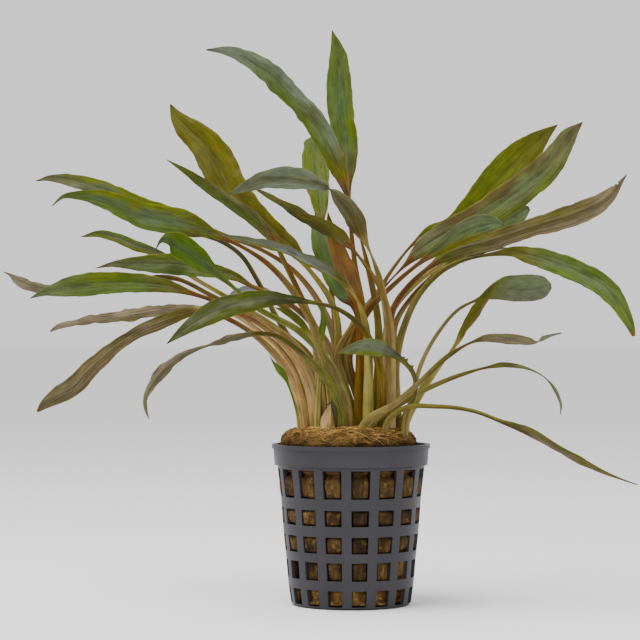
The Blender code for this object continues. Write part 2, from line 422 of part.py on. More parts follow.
def wool_rings():
    """Rings of the plug from its underside up to the crown of the mound. The side follows the pot
    with soft lumps, and is hollowed low on the right, where the wool doesn't fill the pot."""
    turns = np.arange(WOOL_COLUMNS) * 360 / WOOL_COLUMNS
    rings = []
    for height in WOOL_SIDE_HEIGHTS:
        wall = np.interp(height, BODY_HEIGHTS + (COLLAR_FOOT_HEIGHT, POT_HEIGHT),
                         BODY_RADII + (COLLAR_FOOT_RADIUS, COLLAR_TOP_RADIUS)) - WALL
        lumps = (np.sin(np.radians(WOOL_LUMPS_AROUND * turns + height * 360 / WOOL_LUMP_RISE))
                 * np.sin(height * 2 * math.pi / WOOL_LUMP_RISE))
        hollow = (smooth_step(1 - np.abs(turns - WOOL_HOLLOW_TURN) / WOOL_HOLLOW_SPREAD)
                  * smooth_step(2 * (1 - height / WOOL_HOLLOW_TOP)))
        radius = wall - WOOL_CLEARANCE - WOOL_LUMP * (1 + lumps) / 2 - WOOL_HOLLOW_DEPTH * hollow
        rings.append(around(radius, turns, height))
    for height, radius in WOOL_MOUND:
        wave = MOUND_WAVE * np.sin(np.radians(MOUND_WAVES_AROUND * turns) + height)
        rings.append(around(radius + wave, turns, height))
    return np.array(rings)


def wool_plug():
    """The wool that fills the pot, with a pocket for the foot of each stalk."""
    rings = wool_rings()
    count = WOOL_COLUMNS
    top = len(rings) - 1
    faces = [[*range(count)][::-1], [top * count + column for column in range(count)]]
    for level in range(top):
        for column in range(count):
            after = (column + 1) % count
            faces.append([level * count + column, level * count + after,
                          (level + 1) * count + after, (level + 1) * count + column])
    wool = new_object("wool_plug", rings.reshape(-1, 3), faces, WOOL_COLOUR, WOOL_ROUGHNESS)
    cut = wool.modifiers.new("stalk_pockets", "BOOLEAN")
    cut.object = pocket_cutter()
    cut.operation = "DIFFERENCE"
    cut.solver = "EXACT"
    cut.use_self = True
    return wool


def as_seen(across, up, depth):
    """The point that lies depth behind the axis plane and is seen at (across, up) on it."""
    scale = (EYE_DISTANCE + depth) / EYE_DISTANCE
    return np.stack([across * scale, depth, EYE_HEIGHT + (up - EYE_HEIGHT) * scale], -1)


def leaf_spine(leaf):
    """Centre points, half widths and turns of a leaf. The depth leaves the foot slowly, at the
    power STALK_FLARE of the way to the neck, and runs on from there in a parabola to the tip."""
    turn = leaf.blade[0][3]
    table = np.array([(*point, turn) for point in leaf.stalk] + leaf.blade, float)
    neck = len(leaf.stalk)
    run = np.append(0, np.cumsum(np.hypot(*np.diff(table[:, :2], axis=0).T)))
    along = run / run[-1]
    foot_depth, neck_depth, tip_depth = leaf.depths
    before = np.clip(along / along[neck], 0, 1)
    beyond = np.clip((along - along[neck]) / (1 - along[neck]), 0, 1)
    slope = STALK_FLARE * (neck_depth - foot_depth) / along[neck] * (1 - along[neck])
    depth = (foot_depth + (neck_depth - foot_depth) * before ** STALK_FLARE + slope * beyond
             + (tip_depth - neck_depth - slope) * beyond ** 2)
    half = table[:, 2].copy()
    shown = np.abs(np.cos(np.radians(table[:, 3])))
    half[neck + 1:] /= np.maximum(shown[neck + 1:], LEAST_COSINE)
    return as_seen(table[:, 0], table[:, 1], depth), half, table[:, 3], neck


def frames(spine, turns):
    """Directions across each point of a spine and out of its face, turned about the spine from
    facing the eye."""
    along = unit(np.gradient(spine, axis=0))
    to_eye = unit(np.array([0, -EYE_DISTANCE, EYE_HEIGHT]) - spine)
    side = unit(np.cross(along, to_eye))
    face = np.cross(side, along)
    turn = np.radians(turns)[:, None]
    return np.cos(turn) * side + np.sin(turn) * face, np.cos(turn) * face - np.sin(turn) * side


def round_sections(half):
    """Six points of a round stalk of each radius, as (across, out) pairs."""
    angle = np.radians(STALK_SIDES)
    return np.stack([np.cos(angle), np.sin(angle)], -1) * half[:, None, None]


def blade_sections(half):
    """Six points of a blade folded up from its midrib, for each half width."""
    lift = half * math.tan(math.radians(BLADE_FOLD))
    rib = np.minimum(MIDRIB_THICKNESS / 2, half)
    edge = np.minimum(MARGIN_THICKNESS / 2, half)
    zero = np.zeros_like(half)
    across = np.stack([-half, zero, half, half, zero, -half], -1)
    out = np.stack([lift + edge, rib, lift + edge, lift - edge, -rib, lift - edge], -1)
    return np.stack([across, out], -1)


def swept(spine, turns, sections):
    """Points and faces of a closed skin through the sections along a spine."""
    side, face = frames(spine, turns)
    rings = spine[:, None] + sections[..., :1] * side[:, None] + sections[..., 1:] * face[:, None]
    count = sections.shape[1]
    faces = []
    for level in range(len(spine) - 1):
        for corner in range(count):
            after = (corner + 1) % count
            faces.append([level * count + corner, level * count + after,
                          (level + 1) * count + after, (level + 1) * count + corner])
    faces.append([*range(count)][::-1])
    faces.append([(len(spine) - 1) * count + corner for corner in range(count)])
    return rings.reshape(-1, 3), faces


def leaf_node(leaf):
    """A leaf in one piece: a round stalk that flattens at its neck into a folded blade."""
    spine, half, turns, neck = leaf_spine(leaf)
    run = np.append(0, np.cumsum(np.linalg.norm(np.diff(spine, axis=0), axis=1)))
    flat = smooth_step((run - run[neck] + NECK_LEAD) / NECK_LENGTH)[:, None, None]
    sections = round_sections(half) * (1 - flat) + blade_sections(half) * flat
    points, faces = swept(spine, turns, sections)
    return new_object(leaf.name, points, faces, leaf.colour, LEAF_ROUGHNESS)


def pocket_cutter():
    """Tubes a little wider than the stalks, from just under each foot to above the mound."""
    points, faces = [], []
    for leaf in LEAVES:
        spine, half, turns, _ = leaf_spine(leaf)
        reach = np.argmax(spine[:, 2] > POCKET_TOP) + 1
        below = spine[0] - unit(spine[1] - spine[0]) * POCKET_GAP
        radii = np.append(half[0], half[:reach]) + POCKET_GAP
        tube, skin = swept(np.vstack([below, spine[:reach]]), np.append(turns[0], turns[:reach]),
                           round_sections(radii))
        faces += [[corner + len(points) for corner in ring] for ring in skin]
        points += tube.tolist()
    cutter = new_object("stalk_pocket_cutter", points, faces, WOOL_COLOUR, WOOL_ROUGHNESS)
    cutter.hide_render = True
    cutter.display_type = "WIRE"
    return cutter


for old in list(bpy.data.objects):
    bpy.data.objects.remove(old, do_unlink=True)
net_pot()
wool_plug()
for leaf in LEAVES:
    leaf_node(leaf)
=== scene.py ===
"""Potted cryptocoryne: the looks of a rosette water plant in a net pot packed with mineral wool.

Each leaf is a skin swept along a smooth curve through the same points as its solid. Its section runs
from a round stalk with a shallow channel to a thin blade, folded up from a midrib, whose margins
ruffle and crinkle by sums of sine waves along the leaf. The pot is a grid of turns and heights with
its windows left out. The wool is a surface of revolution that lattice noise pushes in and out and
that swells into the windows, with thin strands laid along it.

Lengths are in millimetres until a mesh is made. +Z is up, the pot stands on Z = 0 with its axis on
the Z axis, and the plant's front looks along -Y.
"""
import math
from functools import partial
from itertools import product
from typing import NamedTuple

import bpy
import numpy as np
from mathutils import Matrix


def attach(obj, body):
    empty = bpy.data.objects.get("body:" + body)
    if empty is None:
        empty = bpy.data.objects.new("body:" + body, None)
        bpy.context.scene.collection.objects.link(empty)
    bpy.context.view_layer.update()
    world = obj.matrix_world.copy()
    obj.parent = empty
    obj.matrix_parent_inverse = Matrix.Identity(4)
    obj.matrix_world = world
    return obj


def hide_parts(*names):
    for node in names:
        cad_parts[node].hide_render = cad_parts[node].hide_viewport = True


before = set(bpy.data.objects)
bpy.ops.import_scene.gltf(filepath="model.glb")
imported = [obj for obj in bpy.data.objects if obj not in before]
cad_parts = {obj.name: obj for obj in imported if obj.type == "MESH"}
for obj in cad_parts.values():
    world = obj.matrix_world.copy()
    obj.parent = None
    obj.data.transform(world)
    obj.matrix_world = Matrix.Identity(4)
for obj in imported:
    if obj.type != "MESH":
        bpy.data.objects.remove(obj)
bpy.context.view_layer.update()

MM = 0.001

# Net pot
POT_HEIGHT = 53.3
LIP_RADIUS = 26.35
LIP_HEIGHT = 1.4
LIP_FLARE = 0.2
COLLAR_TOP_RADIUS = 25.85
COLLAR_FOOT_RADIUS = 25.5
COLLAR_FOOT_HEIGHT = 46.5
BODY_TOP_HEIGHT = 46.1
WALL = 1.2
FLOOR = 1.0
EDGE_ROUNDING = 0.9
BODY_HEIGHTS = (1.0, 3.5, 7, 15, 23, 31, 36.5, BODY_TOP_HEIGHT)
BODY_RADII = (19.95, 20.2, 20.85, 21.5, 22.35, 23.0, 23.35, 24.5)
WINDOW_ROWS = ((45.4, 36.2), (32.5, 27.3), (23.8, 18.4), (15.4, 9.5), (6.3, 1.0))
WINDOW_COLUMNS = 16
WINDOW_TURN = 7.6
WINDOW_HALF_TOP = 7.5
WINDOW_HALF_FOOT = 6.7
SLOT_OUTER_RADIUS = 16.0
SLOT_INNER_RADIUS = 9.0
WINDOW_STEPS = 5
RIB_STEPS = 3
EDGE_BEVEL = 0.22
BEVEL_SEGMENTS = 2
SHARP_ANGLE = 40.0

# Mineral wool. Where heights or radii come in a pair, an effect starts at the first and is full at
# the second.
WOOL_FOOT = ((0.0, 1.5), (12.0, 1.5), (19.0, 1.5))
WOOL_MOUND = ((22.7, 50.0), (23.0, 53.0), (22.4, 55.6), (20.6, 57.4), (17.5, 58.5), (12.0, 59.0),
              (0.0, 59.0))
WOOL_CLEARANCE = 0.8
WOOL_SIDE_RADII = (18.0, 19.5)
WOOL_SIDE_HEIGHTS = (47.0, 46.0)
# Turn, spread, top and depth of the hollow low on the right, with painted light, and of the one on the
# left, with painted shade
WOOL_HOLLOWS = ((65.0, 35.0, 22.0, 6.0), (-70.0, 30.0, 20.0, 4.5))
WOOL_MOUND_HEIGHTS = (50.0, 54.0)
WOOL_MOUND_SHIFT = -1.0
WOOL_SHIFT_HEIGHTS = (48.0, 52.0)
WOOL_BULGE = 1.9
WOOL_BULGE_EDGE_TURN = 1.4
WOOL_BULGE_EDGE_HEIGHT = 0.6
WOOL_BULGE_LUMPS = 0.4
WOOL_GROOVE_HEIGHT = 43.9
WOOL_GROOVE_DEPTH = 2.6
WOOL_GROOVE_SPREAD = 0.9
WOOL_COLUMNS = 320
WOOL_ROWS = 124
WOOL_LUMPS = ((7.5, 0.7, 3), (3.1, 0.45, 4), (1.7, 0.3, 5))
WOOL_LEAN_RADIUS = 22.0
WOOL_LEAN = 0.6
NOISE_CELLS = 32

# The wool's shade, from 0 in the open to 1 deep in a crease, and its tone, how much lighter or darker
# it is. Behind the wet windows the shade is WET_SHADE at the table, less 1 for each WET_FADE of height.
CREASE_SHADE = 0.22
SIDE_SHADE = 0.42
BLOTCH_SHADE = 0.48
BLOTCH_SIZE = 9.0
BLOTCH_SEED = 9
# Painted shade in the hollow on the left, and less of it in the one on the right
HOLLOW_SHADE = 0.09
LIP_SHADE = 0.72
LIP_SHADE_HEIGHTS = ((46.0, 48.0), (55.5, 52.5))
WET_TURN = 7.6
WET_SPREAD = 11.0
WET_SHADE = 0.27
WET_FADE = 270.0
DARKEST_SHADE = 0.92
# Painted light: how much lighter the wool is in the hollow on the right
HOLLOW_LIGHT_TONE = 0.07
WOOL_TONE = -0.1

# Loose strands of wool on the mound
STRANDS = 4500
STRAND_POINTS = 5
STRAND_CORNERS = (90, 210, 330)
STRAND_LENGTHS = (4.0, 12.0)
STRAND_RADII = (0.04, 0.085)
STRAND_TAPER = 0.7
STRAND_LIFT = 0.4
STRAND_LIFT_SHARES = (0.1, 1)
STRAND_CLEARANCE = 0.08
STRAND_START = 0.7
STRAND_BEND = 0.55
STRAND_DRIFT = 0.5
STRAND_DRIFT_SIZE = 8.0
STRAND_SCATTER = 0.22
STRAND_CLIMB = 1.3
STRAND_LEAST_RADIUS = 3.0
STRAND_RISE = 0.8
STRAND_RISE_HEIGHTS = (50.0, 56.0)
STRAND_TONE = 0.35
STRAND_TONE_SIZE = 2.6
STRAND_TONE_CHANCE = (-0.25, 0.27)
# Painted highlight: how much lighter the strands are towards the top of the mound
STRAND_TOP_HIGHLIGHT = 0.2
STRAND_HIGHLIGHT_HEIGHTS = (55.0, 58.5)
STRAND_SHADE = 0.7
STRAND_SHADE_HEIGHTS = (56.5, 52.5)
STRAND_SEED = 11

# The viewpoint that the leaf paths are drawn from, which is also the camera's place. The focal
# length, the pot's axis and the horizon are in the photo's pixels.
EYE_DISTANCE = 770.0
EYE_HEIGHT = 87.0
FOCAL_PIXELS = 2310.0
FRAME_PIXELS = 640.0
AXIS_PIXEL = 351.0
HORIZON_PIXEL = 342.6
SENSOR = 36.0

# Leaves
BLADE_STEP = 0.75
STALK_STEP = 2.0
HALF_RING = 16
MARGIN_CROWDING = 1.4
LEAST_HALF = 0.1
STALK_FLARE = 1.6
NECK_LEAD = 2.0
NECK_LENGTH = 8.0
LEAST_COSINE = 0.45
BLADE_FOLDS = (9.0, 15.0)
FOLD_SOFTNESS = 0.14
MARGIN_CURLS = (0.0, 0.09)
BLADE_THICKNESS = 0.34
RIB_RISE = 0.22
RIB_GROOVE = 0.14
RIB_HALF_WIDTH = 0.42
STALK_CHANNEL = 0.22
STALK_CHANNEL_WIDTH = 0.35
STALK_SWELL = 0.6
STALK_SWELL_POWER = 1.5
# Wave length and height of the margins' waves, which are full where the half width is at least
# FULL_WAVE_HALF and die away over the last TIP_CALM of the leaf
RUFFLES = ((19.0, 0.34), (10.5, 0.2), (5.6, 0.1))
CRINKLES = ((7.9, 0.09), (4.6, 0.05), (2.9, 0.03))
WAVE_STRETCHES = (0.85, 1.2)
FULL_WAVE_HALF = 3.0
TIP_CALM = 12.0
NICK_SPREAD = 0.32
NICK_STEPS = 9
LEAF_SEED = 40

# The ring of points round a leaf, from its minus margin over the upper face and back under it. The
# reach goes from -1 at one margin to 1 at the other, and the points crowd towards the midrib.
RING = math.pi * (1 - np.arange(2 * HALF_RING) / HALF_RING)
IS_TOP = (np.sin(RING) > 1e-6).astype(float)
IS_LOW = (np.sin(RING) < -1e-6).astype(float)
REACH = np.sign(np.cos(RING)) * np.abs(np.cos(RING)) ** MARGIN_CROWDING
OUTER = np.abs(REACH)
IS_PLUS = (REACH > 0).astype(int)

# The range that nearly all values of a noise texture lie in
NOISE_RANGE = (0.3, 0.7)

# Patterns on a leaf: length along it and width across it of their patches, how many patches one
# leaf's are away from the next one's, and how many octaves they have
LEAF_PATTERNS = {
    "patch": (9.0, 4.0, 1.0, 2), "drift": (13.0, 7.0, 1.7, 2), "streak": (8.0, 0.6, 1.0, 3),
    "mottle": (4.5, 1.3, 1.4, 3), "grain": (0.5, 0.35, 1.0, 2), "fibre": (10.0, 0.25, 1.3, 2),
    "strip": (30.0, 1.5, 3.1, 1), "spot": (2.4, 1.7, 2.3, 2),
}
LEAF_LIGHT = {"streak": 0.18, "grain": 0.06, "patch": 0.2, "mottle": 0.15}
LEAF_RELIEF = {"fibre": 0.4, "streak": 0.5, "grain": 0.2}
FIBRE_LIGHT_ON_STALK = 0.19
FIBRE_LIGHT_ON_BLADE = 0.0475
# Painted shade along the middle of a stalk, where its channel runs, painted light at its sides, and
# painted shade beside the blade's midrib where it folds
STALK_MIDDLE_LIGHT = -0.2
STALK_EDGE_LIGHT = 0.35
CREASE_LIGHT = -0.16
VEINS = 2.7
VEIN_RELIEF = -0.4
LEAF_ROUGHNESS = (0.44, 0.6)
LEAF_VALUE = 0.565
LEAF_SATURATION = 1.08
STALK_SATURATION = 1.1
LEAF_SPECULAR = 0.12
LEAF_RELIEF_DEPTH = 0.3

# Patch sizes on the pot and in the wool along X, Y and Z. Real moulding grain and wool fibres are too
# fine to show in the render, so they are drawn this coarse.
POT_BLOOM = (11.1, 11.1, 11.1)
POT_SCUFF = (6.25, 6.25, 1.25)
POT_GRAIN = (0.556, 0.556, 0.556)
POT_ROUGHNESS = (0.36, 0.5)
POT_SPECULAR = 0.22
POT_RELIEF_DEPTH = 0.1
WOOL_CLUMP = (4.17, 4.17, 4.17)
WOOL_LEVEL_FIBRE = (3.85, 3.85, 0.481)
WOOL_UPRIGHT_FIBRE = (0.909, 0.909, 6.06)
WOOL_SPECK = (0.667, 0.667, 0.667)
WOOL_FLECK = (1.613, 1.613, 1.613)
WOOL_SWIRL = 5.88
WOOL_SWIRL_REACH = 9.0
WOOL_ROUGHNESS = 0.85
WOOL_SPECULAR = 0.1
WOOL_RELIEF_DEPTH = 0.3
FLOOR_CLOUD = (333.0, 333.0, 333.0)
FLOOR_ROUGHNESS = 0.9
FLOOR_REACH = 40000.0

# The grey, silver, ash, slate and lilac colours of blade halves are partly the leaves' own colour and
# partly painted sheen
PALETTE = {
    "moss": "5E6A22", "dark_moss": "4C5518", "yellow_moss": "6C7418", "leaf_green": "5A6C2C",
    "dark_green": "3F4C22", "bright_green": "5C7422", "fresh_green": "5C8018",
    "blue_green": "526A3C", "grey_teal": "5E7048", "grey_green": "68744A", "ash_green": "666A4C",
    "grey_olive": "6C6C46", "slate": "747C70", "olive": "605C0E", "dark_olive": "3C3E10",
    "gold_olive": "5E5900", "yellow_olive": "6A6500", "yellow_green": "667200",
    "olive_brown": "685C34", "brown_olive": "62501E", "brown": "5E4420", "orange": "A8741E",
    "pink_brown": "9A8A70", "tan": "8E7E60", "grey_brown": "7C765E", "lilac_grey": "72706A",
    "lilac": "A09EA4", "pale_under": "7C7C48", "stem_olive": "9A8A4A", "stem_brown": "76502A",
    "stem_green": "8E8E44", "stem_tan": "CCB07C", "stem_rust": "88491E", "stem_pink": "F8CE92",
    "stem_dark": "44321A", "rust": "8A6438", "light_rust": "8E6C44", "silver_green": "78826A",
    "stem_moss": "5A5222", "stem_khaki": "A4905C", "stem_lime": "C8BA6E", "stem_amber": "8E6E26",
}
RIM_COLOUR = "84842C"
RIB_COLOUR = "8E8C60"
SPOT_COLOUR = "5E4218"
STALK_STREAK_COLOUR = "8C8442"
POT_COLOUR = "323135"
WOOL_TAN = "785A32"
WOOL_GOLD = "BC9650"
WOOL_BROWN = "4C3619"
WOOL_DARK = "20180F"
FLOOR_COLOUR = "F4F4F4"

# Name, place in metres, width in metres and watts of each soft light
LIGHTS = (("softbox_top", (-0.3, -0.2, 0.95), 0.55, 12), ("softbox_front", (0.5, -1.0, 0.4), 0.7, 3))
LIGHT_AIM = (0, 0, 0.1)
WORLD_STRENGTH = 1.05


class Paint(NamedTuple):
    """The names in PALETTE of a leaf's colours: its stalk's foot and top, its blade's neck, the
    two halves of the blade with the middle between them, its tip, its underside, and the very
    point of the tip. A greyer or silvery half is partly the leaf's own grey-green and partly a
    painted sheen where that half catches the light. Stripes is how much darker than the rest its
    arched veins are."""

    foot: str
    stalk: str
    neck: str
    minus: str
    middle: str
    plus: str
    tip: str
    under: str
    point: str = "brown"
    stripes: float = 0.12


class Leaf(NamedTuple):
    """One leaf, as a path from its foot in the wool to its tip.

    A stalk point is (across, up, radius) and a blade point (across, up, half width, turn), all as
    the eye sees them on the upright plane through the pot's axis. A turn of 0 shows the upper face
    and 180 the underside. The depths are how far behind that plane the foot, the neck and the tip
    are. A leaf's plus side is the upper one of a leaf that runs to the left, the lower one of a
    leaf that runs to the right and the right one of an upright leaf. Wavy is how much its margins
    ruffle, against the rest, and swell how much its stalk thickens towards its foot. A nick is how
    far beyond the neck it is, its side and the share of the half width that is torn away there, below
    0 for a shred that sticks out.
    """

    name: str
    slot: str
    depths: tuple
    stalk: list
    blade: list
    paint: Paint
    wavy: float = 1.0
    swell: float = 1.0
    nicks: tuple = ()


